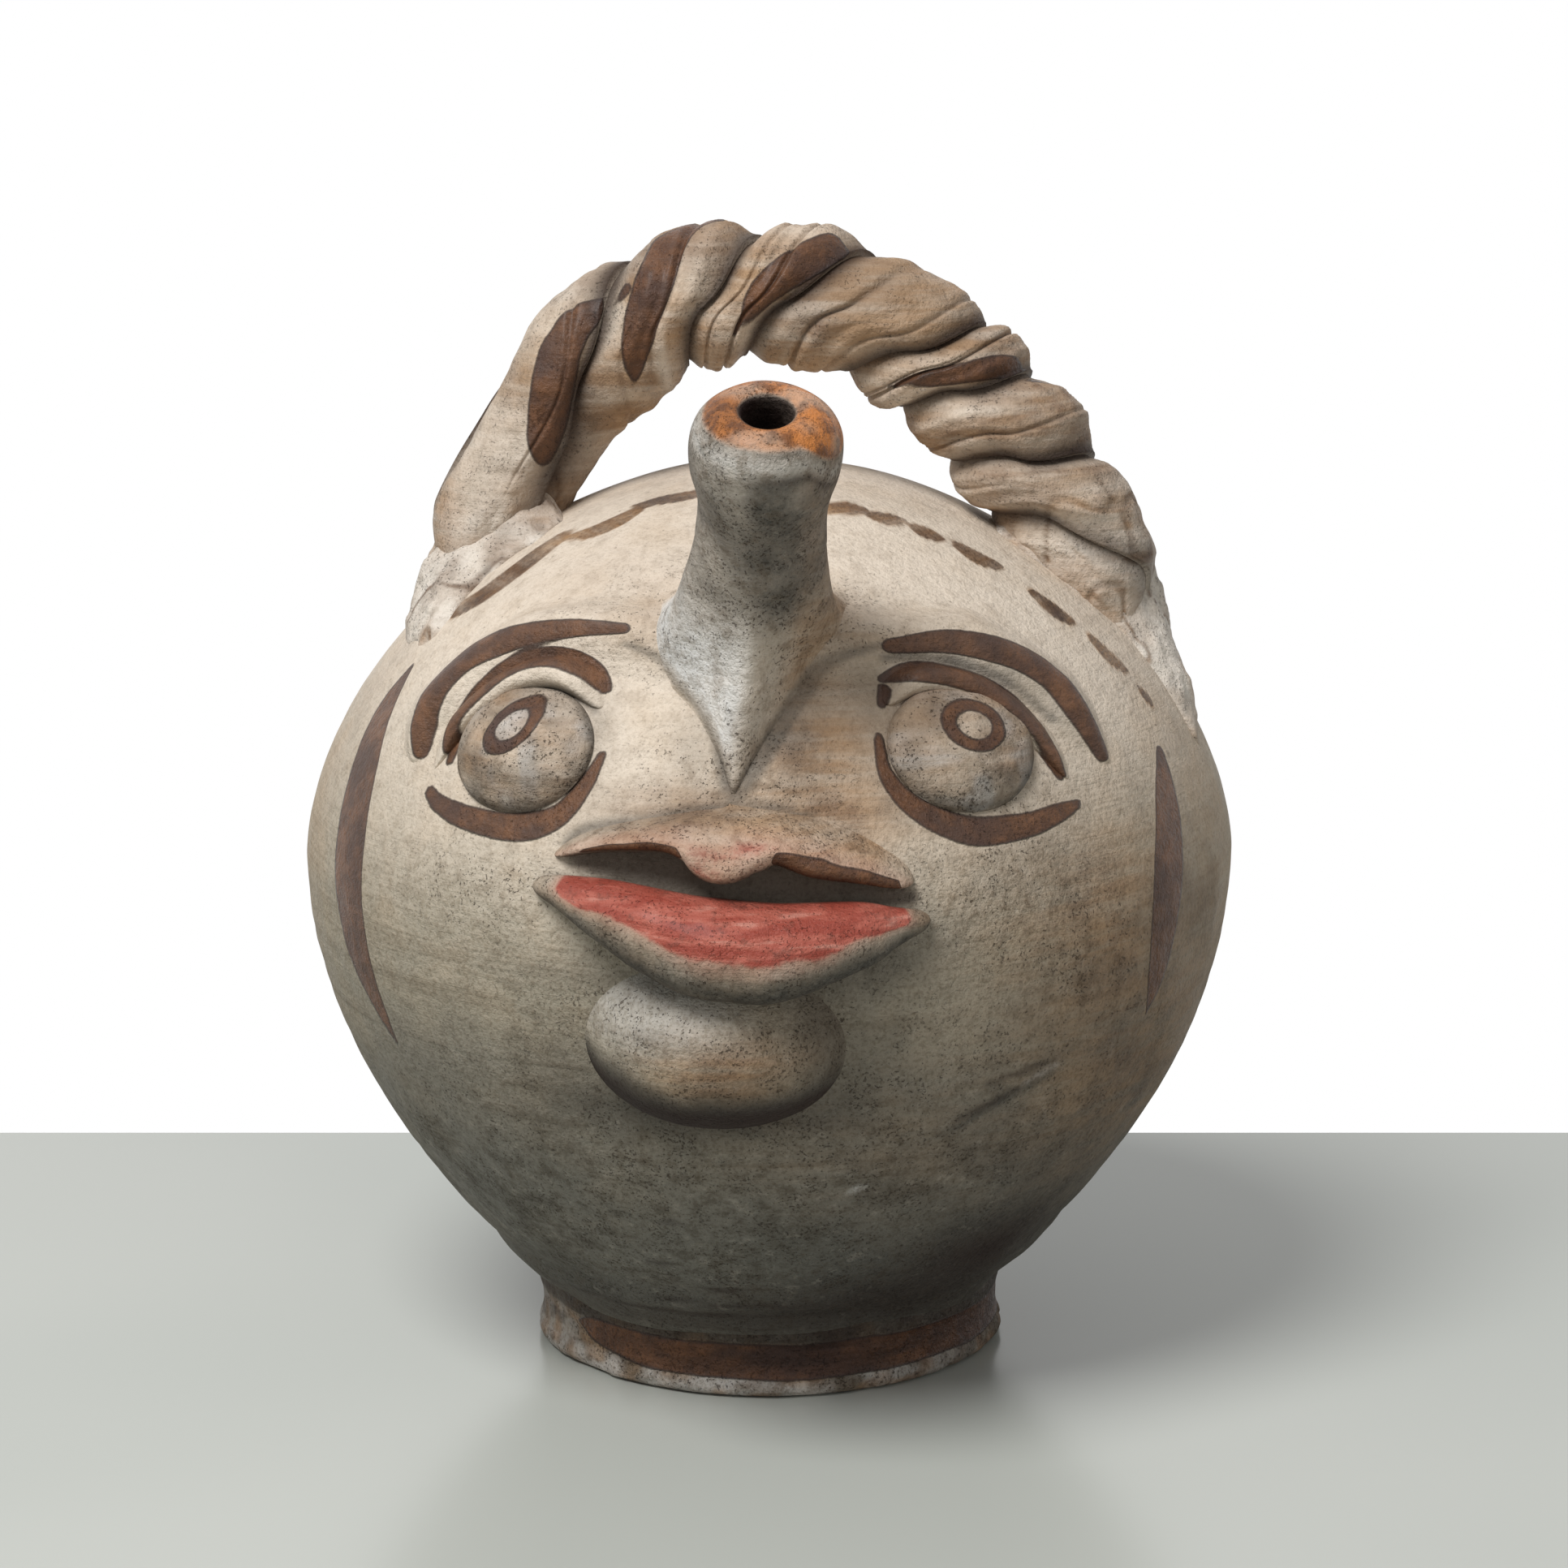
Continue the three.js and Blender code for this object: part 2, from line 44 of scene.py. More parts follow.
# Sizes of the thrown body, as in its solids
BELLY_RADIUS = 105.0
BELLY_HEIGHT = 115.0
DOME_RISE = 87.5
DOME_SIDE_POWER = 1.05
DOME_TOP_POWER = 1.14
SEAT_RADIUS = 52.0
SEAT_HEIGHT = 14.8
WALL = 6.0
CROWN_HEIGHT = BELLY_HEIGHT + DOME_RISE
# How deep a luted piece reaches into the wall, and how far its feathered edge dips under the skin
LUTE_DEPTH = 3.0
FEATHER = 0.35


# Shapes: rows of numbers, unevenness and places on the body

def unit(vectors):
    return vectors / np.linalg.norm(vectors, axis=-1, keepdims=True)


def smooth(low, high, values):
    """0 at low and 1 at high, easing in and out between them."""
    share = np.clip((values - low) / (high - low), 0, 1)
    return share * share * (3 - 2 * share)


def bell(values, middle, width):
    """1 at the middle, and close to 0 from two widths away."""
    return np.exp(-(((values - middle) / width) ** 2))


def circle(step):
    """Angles once round, a step of so many degrees apart."""
    return np.radians(np.arange(0, 360, step))


def eased(rows, count):
    """A smooth run through rows of numbers, from the first to the last."""
    rows = np.array(rows, float)
    padded = np.vstack([2 * rows[0] - rows[1], rows, 2 * rows[-1] - rows[-2]])
    at = np.linspace(0, len(rows) - 1, count)
    first = np.minimum(at.astype(int), len(rows) - 2)
    t = (at - first)[:, None]
    a, b, c, d = (padded[first + i] for i in range(4))
    return 0.5 * (2 * b + (c - a) * t + (2 * a - 5 * b + 4 * c - d) * t**2 + (3 * b - a - 3 * c + d) * t**3)


def lengths_along(points):
    return np.concatenate([[0], np.cumsum(np.linalg.norm(np.diff(points, axis=0), axis=1))])


def points_at(points, lengths, at):
    return np.stack([np.interp(at, lengths, column) for column in points.T], -1)


# Whole numbers that scatter the places of cells into an even spread of values
SCATTER = np.array([73856093, 19349663, 83492791])
SCATTER_AGAIN = 1274126177
SCATTER_MOST = 0x7FFFFFFF
SEED_SHIFT = 17.31


def lumps(points, size, seed):
    """Hand-made unevenness between -1 and 1, in swellings of about the given size."""
    scaled = np.asarray(points, float) / size + seed * SEED_SHIFT
    cell = np.floor(scaled).astype(np.int64)
    t = scaled - cell
    t = t * t * (3 - 2 * t)
    total = np.zeros(scaled.shape[:-1])
    for corner in np.ndindex(2, 2, 2):
        mixed = np.bitwise_xor.reduce((cell + np.array(corner)) * SCATTER, axis=-1)
        mixed = np.multiply(mixed ^ (mixed >> 13), SCATTER_AGAIN) & SCATTER_MOST
        weight = np.prod(np.where(np.array(corner) == 1, t, 1 - t), axis=-1)
        total += weight * (mixed / (SCATTER_MOST // 2) - 1)
    return total


def squeezed(points, across, up):
    """Points drawn together sideways or upright, so that the lumps on them come out long."""
    return points * np.array([across, across, up])


def skin_radius(height):
    height = np.asarray(height, float)
    below = (BELLY_HEIGHT - height) / (BELLY_HEIGHT - SEAT_HEIGHT)
    bowl = BELLY_RADIUS - (BELLY_RADIUS - SEAT_RADIUS) * below**2
    climb = np.clip((height - BELLY_HEIGHT) / DOME_RISE, 0, 1) ** (1 / DOME_TOP_POWER)
    dome = BELLY_RADIUS * (1 - climb**2) ** (DOME_SIDE_POWER / 2)
    return np.where(height < BELLY_HEIGHT, bowl, dome)


# Thumb-pressed hollows and swellings of the face: [turn, rise, reach across, reach up, amount]
PRESSED = [
    [-30, 37, 19, 15, -1.8], [31, 38.5, 19, 15, -1.8], [-10, 37, 9, 13, -1.2], [11, 37, 9, 13, -1.2],
    [-34, 61, 24, 8, 1.2], [36, 60, 24, 8, 1.2], [0, 20, 34, 14, 1.0], [0, -2, 34, 10, 0.8],
]
# The radii that the lumps and the pressed places are laid out on
LUMP_RADIUS = 90.0
PRESSED_RADIUS = 85.0


def thrown(outward, height):
    """How far the wheel and the potter's hands left the skin from its true form."""
    round_points = outward * LUMP_RADIUS + UP * height[..., None]
    hands = 0.55 * lumps(round_points, 60, 1) + 0.2 * lumps(round_points, 22, 2)
    lines = squeezed(round_points, 0.02, 1)
    low = smooth(150, 60, height)
    wheel = (0.05 + 0.09 * low) * lumps(lines, 2.6, 3) + (0.03 + 0.08 * low) * lumps(lines, 6.5, 4)
    trimmed = 1.1 * smooth(40, 20, height) * lumps(squeezed(round_points, 0.14, 1), 4.6, 5)
    turn = np.degrees(np.arctan2(outward[..., 0], -outward[..., 1]))
    rise = height - BELLY_HEIGHT
    pressed = sum(
        amount * bell(np.radians(turn - at_turn) * PRESSED_RADIUS, 0, across) * bell(rise, at_rise, up)
        for at_turn, at_rise, across, up, amount in PRESSED
    )
    return hands + wheel + trimmed + pressed


def around(angles):
    """The ways out from the body's axis."""
    return np.stack([np.sin(angles), -np.cos(angles), 0 * angles], -1)


SLOPE_STEP = 0.01


def skin_place(turn, rise):
    """Points on the skin, with the normals there.
    turn: degrees round from the face's middle. rise: millimetres above the belly."""
    height = np.clip(BELLY_HEIGHT + np.asarray(rise, float), SEAT_HEIGHT, CROWN_HEIGHT - 2 * SLOPE_STEP)
    slope = (skin_radius(height + SLOPE_STEP) - skin_radius(height - SLOPE_STEP)) / (2 * SLOPE_STEP)
    outward = around(np.radians(turn))
    normal = unit(outward - slope[..., None] * UP)
    point = outward * skin_radius(height)[..., None] + UP * height[..., None]
    return point + normal * thrown(outward, height)[..., None], normal


def face_axes(turn, rise):
    """One place on the skin, its normal, and the ways to the right and up along the skin there."""
    point, normal = skin_place(turn, rise)
    right = np.array([math.cos(math.radians(turn)), math.sin(math.radians(turn)), 0.0])
    return point, normal, right, np.cross(normal, right)


def turn_and_rise(points):
    return np.degrees(np.arctan2(points[..., 0], -points[..., 1])), points[..., 2] - BELLY_HEIGHT


def on_skin(points):
    return skin_place(*turn_and_rise(points))


def proud_of_skin(points):
    """How far points stand proud of the skin, and the skin's normals below them."""
    skin, normal = on_skin(points)
    return np.sum((points - skin) * normal, -1), normal


def bedded(points):
    """Keeps what is pressed into the body inside its wall."""
    proud, normal = proud_of_skin(points)
    return points - normal * np.minimum(proud + LUTE_DEPTH, 0)[..., None]


# Pieces: closed meshes, ring by ring

def ring_faces(rings, sides, loop=False):
    i, j = np.meshgrid(np.arange(rings if loop else rings - 1), np.arange(sides), indexing="ij")
    after, beside = (i + 1) % rings, (j + 1) % sides
    quads = np.stack([i * sides + j, i * sides + beside, after * sides + beside, after * sides + j], -1)
    return quads.reshape(-1, 4)


def clay_piece(name, points, quads, fans=()):
    """A closed mesh in the shared frame, its faces turned outward."""
    triangles = np.vstack([quads[:, [0, 1, 2]], quads[:, [0, 2, 3]], *fans])
    a, b, c = (points[triangles[:, i]] for i in range(3))
    inside_out = np.sum(a * np.cross(b, c)) < 0
    faces = [*quads.tolist(), *(face for fan in fans for face in fan.tolist())]
    if inside_out:
        faces = [face[::-1] for face in faces]
    mesh = bpy.data.meshes.new(name)
    mesh.from_pydata((points * MM).tolist(), [], faces)
    mesh.polygons.foreach_set("use_smooth", np.ones(len(faces), bool))
    piece = bpy.data.objects.new(name, mesh)
    bpy.context.scene.collection.objects.link(piece)
    return piece


def lofted(name, rings, loop=False):
    """A skin over rings of points. Its ends are closed, unless the last ring runs on into the first."""
    count, sides, _ = rings.shape
    points = rings.reshape(-1, 3)
    quads = ring_faces(count, sides, loop)
    if loop:
        return clay_piece(name, points, quads)
    ends = np.stack([rings[0].mean(0), rings[-1].mean(0)])
    j = np.arange(sides)
    beside = (j + 1) % sides
    last = (count - 1) * sides
    fans = (
        np.stack([np.full(sides, len(points)), beside, j], -1),
        np.stack([np.full(sides, len(points) + 1), last + j, last + beside], -1),
    )
    return clay_piece(name, np.vstack([points, ends]), quads, fans)


def with_ends(values, end=0.0):
    """One value a point for a lofted piece's rings, and one for the two points that close its ends."""
    return np.append(np.ravel(values), [end, end])


def places_of(piece):
    points = np.empty(len(piece.data.vertices) * 3, np.float32)
    piece.data.vertices.foreach_get("co", points)
    return points.reshape(-1, 3).astype(float) / MM


def turned(profile, angles):
    """Rings of a form turned on the wheel."""
    return profile[:, None, :1] * around(angles) + profile[:, None, 1:] * UP


def oval_rings(place, across, up, reach, angles):
    """Oval rings round a place on the face, each at its own share of the whole reach."""
    point, _, right, over = place
    sideways = right * (reach[:, None] * np.cos(angles) * across)[..., None]
    upward = over * (reach[:, None] * np.sin(angles) * up)[..., None]
    return point + sideways + upward


RIDGE_STATIONS = 150
RIDGE_LEAST_WIDTH = 0.4
RIDGE_END_WIDTH = 0.06
# Where the points of a ridge's buried underside lie, from its last foot back to its first
RIDGE_UNDERSIDE = np.linspace(0, 1, 9)[1:-1]


def ridge_rings(rows, section, end_share, feather=FEATHER):
    """Rings of clay pressed along a line on the body, and how far along it each lies.
    rows: [turn, rise, half width, relief]. section: [side, height] from one foot to the other, as shares."""
    line = eased(rows, RIDGE_STATIONS)
    share = np.linspace(0, 1, RIDGE_STATIONS)
    end = np.clip(np.minimum(share, 1 - share) / end_share, 0, 1)
    end = np.sqrt(1 - (1 - end) ** 2)
    width = np.maximum(line[:, 2], RIDGE_LEAST_WIDTH) * np.maximum(end, RIDGE_END_WIDTH)
    relief = np.maximum(line[:, 3], 0) * end
    point, normal = skin_place(line[:, 0], line[:, 1])
    side = unit(np.cross(normal, unit(np.gradient(point, axis=0))))

    def beside(shares):
        return on_skin(point[:, None] + side[:, None] * (width[:, None] * shares)[..., None])

    skin, skin_normal = beside(section[:, 0])
    top = skin + skin_normal * (relief[:, None] * section[:, 1] - feather * (1 - section[:, 2]))[..., None]
    first, last = section[0, 0], section[-1, 0]
    under_skin, under_normal = beside(last + (first - last) * RIDGE_UNDERSIDE)
    dip = LUTE_DEPTH * np.sin(np.pi * RIDGE_UNDERSIDE) ** 0.5 * (0.25 + 0.75 * end[:, None])
    under = under_skin - under_normal * (feather + dip)[..., None]
    return np.concatenate([top, under], 1), share


def swell(crown, fillet, reach, columns=41):
    """A swelling's section: crown rounds its top, fillet feathers its feet."""
    side = np.linspace(-1, 1, columns)
    height = (1 - np.abs(side) ** crown) ** fillet
    return np.stack([side * reach, height, smooth(0, 0.05, height)], -1)


def drawn_section(corners, columns=49, feathered=4):
    """A section drawn through given [side, height] corners, its outermost columns feathered."""
    run = eased(corners, columns)
    edge = np.minimum(np.arange(columns), np.arange(columns)[::-1]) / feathered
    return np.column_stack([run, np.clip(edge, 0, 1)])


# Finishes: values painted on the points, and the shaders that read them

# How deep a point lies inside a stroke, in millimetres, where nothing is brushed on
NO_STROKE = -9.0
TONES = ("pink", "soot", "warm", "orange", "pits", "dark", "white")
BARE = {"stroke": NO_STROKE, **dict.fromkeys(TONES, 0.0)}


def paint(piece, **layers):
    """Stores one value a point for each painted layer. A layer that is left out is bare."""
    for layer, value in {**BARE, **layers}.items():
        values = np.full(len(piece.data.vertices), value, np.float32)
        piece.data.attributes.new(layer, "FLOAT", "POINT").data.foreach_set("value", values)


def srgb(red, green, blue):
    """A colour as it is read off a chart, 0 to 255, turned into the shader's own scale."""
    scaled = (c / 255 for c in (red, green, blue))
    return (*(c / 12.92 if c <= 0.04045 else ((c + 0.055) / 1.055) ** 2.4 for c in scaled), 1.0)


class Value:
    """A shader socket that sums can be written with."""

    def __init__(self, finish, socket):
        self.finish = finish
        self.socket = socket

    def maths(self, operation, *values):
        return self.finish.node("ShaderNodeMath", {"operation": operation}, dict(enumerate(values)))

    def __add__(self, other):
        return self.maths("ADD", self, other)

    __radd__ = __add__

    def __sub__(self, other):
        return self.maths("SUBTRACT", self, other)

    def __rsub__(self, other):
        return self.maths("SUBTRACT", other, self)

    def __mul__(self, other):
        return self.maths("MULTIPLY", self, other)

    __rmul__ = __mul__

    def most(self, other):
        return self.maths("MAXIMUM", self, other)


class Finish:
    """The nodes of a material or of the room's light, under construction."""

    def __init__(self, owner):
        self.owner = owner
        owner.use_nodes = True
        self.tree = owner.node_tree
        self.tree.nodes.clear()

    def node(self, kind, settings=None, sockets=None, out=0):
        made = self.tree.nodes.new(kind)
        for setting, value in (settings or {}).items():
            setattr(made, setting, value)
        for socket, value in (sockets or {}).items():
            if isinstance(value, Value):
                self.tree.links.new(value.socket, made.inputs[socket])
            else:
                made.inputs[socket].default_value = value
        return Value(self, made.outputs[out]) if made.outputs else None

    def layer(self, name):
        return self.node("ShaderNodeAttribute", {"attribute_name": name}, out="Fac")

    def ramp(self, value, low, high, to_low=0.0, to_high=1.0):
        limits = {"Value": value, "From Min": low, "From Max": high, "To Min": to_low, "To Max": to_high}
        return self.node("ShaderNodeMapRange", {"interpolation_type": "SMOOTHSTEP"}, limits)

    def mix(self, share, first, second, blend="MIX"):
        settings = {"data_type": "RGBA", "blend_type": blend, "clamp_factor": True}
        return self.node("ShaderNodeMix", settings, {0: share, 6: first, 7: second}, out=2)

    def tint(self, share, colour, second):
        return self.mix(share, colour, second, "MULTIPLY")

    def place(self, stretch=(1, 1, 1)):
        at = self.node("ShaderNodeTexCoord", out="Object")
        return self.node("ShaderNodeVectorMath", {"operation": "MULTIPLY"}, {0: at, 1: stretch})

    def noise(self, scale, detail, roughness=0.6, stretch=(1, 1, 1)):
        sockets = {"Vector": self.place(stretch), "Scale": scale, "Detail": detail, "Roughness": roughness}
        return self.node("ShaderNodeTexNoise", {}, sockets, out="Fac")

    def specks(self, scale):
        sockets = {"Vector": self.place(), "Scale": scale, "Randomness": 1.0}
        return self.node("ShaderNodeTexVoronoi", {"feature": "F1"}, sockets, out="Distance")

    def height(self):
        at = self.node("ShaderNodeTexCoord", out="Object")
        return self.node("ShaderNodeSeparateXYZ", {}, {0: at}, out="Z")

    def close(self, shader_sockets):
        shader = self.node("ShaderNodeBsdfPrincipled", {}, shader_sockets)
        self.node("ShaderNodeOutputMaterial", {}, {"Surface": shader})
        return self.owner


# Colours of the slip, from the crown down to the foot, darker downwards partly as painted shade, and of the
# clay that wears through it
CREAM = srgb(228, 214, 197)
SMOKY_AND_SHADED_CREAM = srgb(174, 164, 146)
ASH_AND_SHADE = srgb(118, 115, 106)
TAN = srgb(198, 174, 144)
COLD_ASH = srgb(114, 115, 110)
# Tints that darken what they lie on
WORN_TINT = srgb(156, 144, 126)
WIPED_TINT = srgb(160, 148, 132)
CRUST_TINT = srgb(140, 124, 104)
GRIT_TINT = srgb(176, 166, 150)
# Stains, painted shade, chalky places, painted highlights and pits: a pair is mottled from its first colour
# to its second
BARE_WHITE_AND_HIGHLIGHT = srgb(228, 227, 224)
WARM_CLAY_AND_SHADE = srgb(172, 136, 100), srgb(128, 97, 71)
SOOT_AND_SHADE_GREYS = srgb(58, 57, 54), srgb(100, 96, 89)
CHALK = srgb(222, 212, 196)
PIT_BROWN = srgb(72, 59, 47)
SPECK_BROWN = srgb(84, 66, 50)
DARKEST = srgb(42, 29, 25)
# Paints and the spout's glaze
ORANGE_GLAZE = srgb(196, 124, 66), srgb(126, 80, 48)
PINK_WASH = srgb(196, 142, 122)
PINK_PAINT = srgb(150, 64, 51), srgb(176, 94, 79)
DULL_PINK = srgb(112, 60, 50)
CHALKY_PINK = srgb(216, 166, 150)
THIN_BROWN = srgb(54, 39, 34)
THICK_BROWN = srgb(82, 52, 34), srgb(112, 75, 50)
PURPLE_BROWN = srgb(60, 42, 38)


class SlipFinish(Finish):
    """Cream slip over clay, fired and handled: stain-marked, pitted, and brushed with brown and pink, with
    painted shade and painted highlights in its stain layers.
    """

    def __init__(self, name):
        super().__init__(bpy.data.materials.new(name))
        self.broad = self.noise(14.0, 3.0, 0.55)
        self.cloudy = self.noise(55.0, 4.0)
        self.grime = self.noise(30.0, 7.0, 0.72)
        self.mottle = self.noise(260.0, 5.0, 0.68)
        self.grain = self.noise(1100.0, 3.0)
        self.wheel = self.noise(4.0, 4.0, 0.7, stretch=(1, 1, 90))
        self.pits = self.layer("pits")
        self.level = self.height() + (self.broad - 0.5) * 0.05 + (self.cloudy - 0.5) * 0.025

    def slip(self):
        """Cream at the crown and ashen at the foot, partly as painted shade, worn and wiped most where it is
        low.
        """
        level, cloudy = self.level, self.cloudy
        # Painted shade: the slip darkens with height towards the foot, partly standing in for the shade under
        # the belly
        colour = self.mix(self.ramp(level, 0.170, 0.098), CREAM, SMOKY_AND_SHADED_CREAM)
        colour = self.mix(self.ramp(level, 0.118, 0.04), colour, ASH_AND_SHADE)
        tanned = self.ramp(cloudy, 0.42, 0.75) * self.ramp(level, 0.07, 0.13, 0.08, 0.3)
        colour = self.mix(tanned, colour, TAN)
        chilled = self.ramp(self.broad, 0.46, 0.62) * self.ramp(level, 0.12, 0.06, 0.0, 0.4)
        colour = self.mix(chilled, colour, COLD_ASH)
        worn = self.ramp(self.grime, 0.48, 0.7) * self.ramp(level, 0.175, 0.08, 0.14, 0.5)
        colour = self.tint(worn, colour, WORN_TINT)
        wiped = self.ramp(self.wheel, 0.5, 0.66) * self.ramp(level, 0.165, 0.08, 0.05, 0.42)
        return self.tint(wiped * self.ramp(cloudy, 0.36, 0.62), colour, WIPED_TINT)

    def stained_and_shaded(self, colour):
        streaks = self.noise(40.0, 3.0, stretch=(1, 1, 9))
        # The white is partly chips and chalky places and partly painted highlight on the nose and the chin
        white = self.layer("white") * self.ramp(self.cloudy, 0.3, 0.6, 0.6, 1.0)
        colour = self.mix(white, colour, BARE_WHITE_AND_HIGHLIGHT)
        # Warm stain, and in places painted warm shade on the right side of the face
        warm = self.layer("warm") * self.ramp(streaks, 0.25, 0.65, 0.5, 1.0)
        colour = self.mix(warm, colour, self.mix(self.ramp(self.grime, 0.4, 0.62), *WARM_CLAY_AND_SHADE))
        # Soot, and painted shade: the sooty grey also darkens creases, hollows and undersides
        soot = self.layer("soot") * self.ramp(self.grime, 0.3, 0.62, 0.62, 1.0)
        return self.mix(soot, colour, self.mix(self.ramp(self.mottle, 0.42, 0.62), *SOOT_AND_SHADE_GREYS))

    def crusted(self, colour):
        crusty = self.ramp(self.mottle, 0.47, 0.66) * (0.12 + self.pits * 0.5)
        colour = self.tint(crusty, colour, CRUST_TINT)
        chalky = self.ramp(self.mottle, 0.46, 0.3) * (0.05 + self.pits * 0.12)
        colour = self.mix(chalky, colour, CHALK)
        gritty = self.ramp(self.grain, 0.46, 0.66) * self.ramp(self.level, 0.17, 0.1, 0.18, 0.42)
        return self.tint(gritty, colour, GRIT_TINT)

    def pinholes(self):
        crowded = self.ramp(self.noise(120.0, 3.0), 0.4, 0.62)
        holes = self.noise(1500.0, 2.0) + crowded * 0.08 + self.pits * 0.04
        return self.ramp(holes, 0.69, 0.76) * self.ramp(self.pits, 0.05, 0.5)

    def pink_paint(self):
        brush_lines = self.noise(520.0, 3.0, stretch=(0.14, 0.14, 1))
        colour = self.mix(self.ramp(brush_lines, 0.4, 0.6), *PINK_PAINT)
        colour = self.mix(self.ramp(self.mottle, 0.54, 0.68) * 0.6, colour, DULL_PINK)
        return self.mix(self.ramp(brush_lines, 0.58, 0.7) * 0.38, colour, CHALKY_PINK)

    def brown_paint(self, stroke):
        """Brown paint that is thin at a stroke's edge and thick inside it."""
        thick = self.mix(self.ramp(self.mottle, 0.36, 0.66), *THICK_BROWN)
        thick = self.mix(self.ramp(self.cloudy, 0.44, 0.66) * 0.75, thick, PURPLE_BROWN)
        return self.mix(self.ramp(stroke, 0.1, 1.0), THIN_BROWN, thick)

    def fired(self):
        """The finished material, all its layers in the order that they lie on the clay."""
        cloudy, mottle, grain = self.cloudy, self.mottle, self.grain
        pit = self.pinholes()
        colour = self.crusted(self.stained_and_shaded(self.slip()))
        colour = self.mix(pit * 0.62, colour, PIT_BROWN)
        colour = self.mix(self.ramp(self.specks(170.0), 0.07, 0.035) * 0.4, colour, SPECK_BROWN)
        orange = self.layer("orange")
        colour = self.mix(orange, colour, self.mix(self.ramp(mottle, 0.4, 0.62), *ORANGE_GLAZE))
        pink = self.layer("pink")
        colour = self.mix(pink * 0.9, colour, PINK_WASH)
        pinked = self.ramp(pink + (cloudy - 0.5) * 0.5 + (mottle - 0.5) * 0.5, 0.35, 0.6)
        colour = self.mix(pinked * 0.94, colour, self.pink_paint())
        stroke = self.layer("stroke") + (cloudy - 0.5) * 0.9 + (grain - 0.5) * 0.25
        brushed = self.ramp(stroke, -0.1, 0.35)
        colour = self.mix(brushed * 0.96, colour, self.brown_paint(stroke))
        # The darkest brown is partly real dark marks and partly painted shade: the mouth's gap, the spout's
        # bore, undersides and creases
        colour = self.mix(self.layer("dark"), colour, DARKEST)

        gloss = brushed.most(pinked).most(orange)
        relief = grain * 0.35 + mottle * (0.7 + self.pits * 0.9) + cloudy * 0.4 + self.grime * 0.6
        relief = relief + self.wheel * 0.4 - pit + brushed * 0.4
        bump = {"Strength": 0.9, "Distance": 0.0011, "Height": relief}
        return self.close({
            "Base Color": colour,
            "Roughness": self.ramp(cloudy, 0.3, 0.7, 0.52, 0.7) - gloss * 0.24 + pit * 0.15,
            "Normal": self.node("ShaderNodeBump", {}, bump, out="Normal"),
            "Coat Weight": gloss * 0.09,
            "Coat Roughness": 0.24,
            "Specular IOR Level": 0.16,
        })


SLOTS = ("cream_slip", "greyed_slip", "brown_paint", "pink_paint", "handle_clay")
finishes = {slot: SlipFinish(slot).fired() for slot in SLOTS}


# Painted strokes on the face and the body: [turn, rise, half width] along each brush stroke
BROW_STROKES = [
    [[-48.3, 33.4, 2.0], [-48.8, 39.2, 3.2], [-48.4, 46.6, 3.6], [-45.4, 53.2, 3.8], [-38.0, 58.8, 3.8],
     [-29, 61.8, 3.2], [-20, 62.6, 1.8]],
    [[23.4, 59.8, 2.6], [32.3, 60.0, 3.9], [41.2, 56.6, 3.9], [46.8, 51.4, 3.6], [49.6, 44.0, 3.2],
     [52.4, 34.2, 2.2]],
]
LID_STROKES = [
    [[-42.7, 32.8, 1.3], [-43.1, 41, 2.3], [-40.6, 48.0, 2.7], [-36.0, 54.0, 2.9], [-30, 56.2, 2.8],
     [-24.6, 54.4, 2.4], [-21.2, 50.4, 1.6]],
    [[21.4, 53.0, 1.2], [25.9, 54.6, 2.6], [32.6, 52.6, 3.0], [38.4, 48.2, 2.9], [42.0, 41.8, 2.5],
     [44.2, 31.6, 1.5]],
    [[21.2, 51.0, 1.3], [20.5, 48.2, 1.1]],
]
LOWER_LID_STROKES = [
    [[-44.0, 26.2, 1.5], [-41.5, 24.4, 2.0], [-36.0, 22.8, 2.7], [-28.7, 22.6, 3.2], [-23.4, 25.4, 2.9],
     [-20.5, 31.6, 2.2], [-19.0, 37.9, 1.3]],
    [[19.0, 42.2, 1.2], [19.3, 35, 1.9], [22.6, 28.4, 2.7], [29.0, 23.4, 3.2], [36.5, 23.0, 2.9],
     [42.0, 24.4, 2.2], [45.6, 25.6, 1.2]],
]
HAIR_STROKES = [
    [[-71.0, 55.6, 1.8], [-66.0, 58.6, 3.3], [-62.4, 62.5, 4.0], [-60.8, 68.3, 4.2], [-61.0, 74.0, 3.0]],
    [[-57.4, 74.6, 1.6], [-52.5, 75.8, 3.2], [-49.0, 78.0, 3.4], [-48.0, 80.2, 2.2]],
    [[-52.0, 80.6, 1.2], [-45.0, 82.0, 2.6], [-36.0, 83.2, 2.8], [-28.0, 84.2, 1.9]],
    [[26.0, 81.6, 2.0], [32.0, 81.9, 3.5], [37.6, 81.4, 2.2]],
    [[40.4, 80.3, 2.0], [44.0, 79.5, 3.2], [47.4, 79.0, 2.0]],
    [[49.9, 77.9, 1.8], [51.2, 76.6, 2.9], [53.0, 75.6, 1.8]],
    [[56.4, 73.7, 2.1], [57.8, 71.3, 3.2], [60.6, 69.7, 2.2]],
    [[62.6, 63.6, 2.0], [63.5, 60.5, 3.1], [65.4, 58.1, 2.2]],
    [[67.4, 53.6, 1.9], [68.2, 50.0, 2.8], [69.8, 47.2, 2.0]],
    [[70.5, 42.4, 1.5], [70.7, 41.0, 1.9], [70.9, 39.8, 1.5]],
]
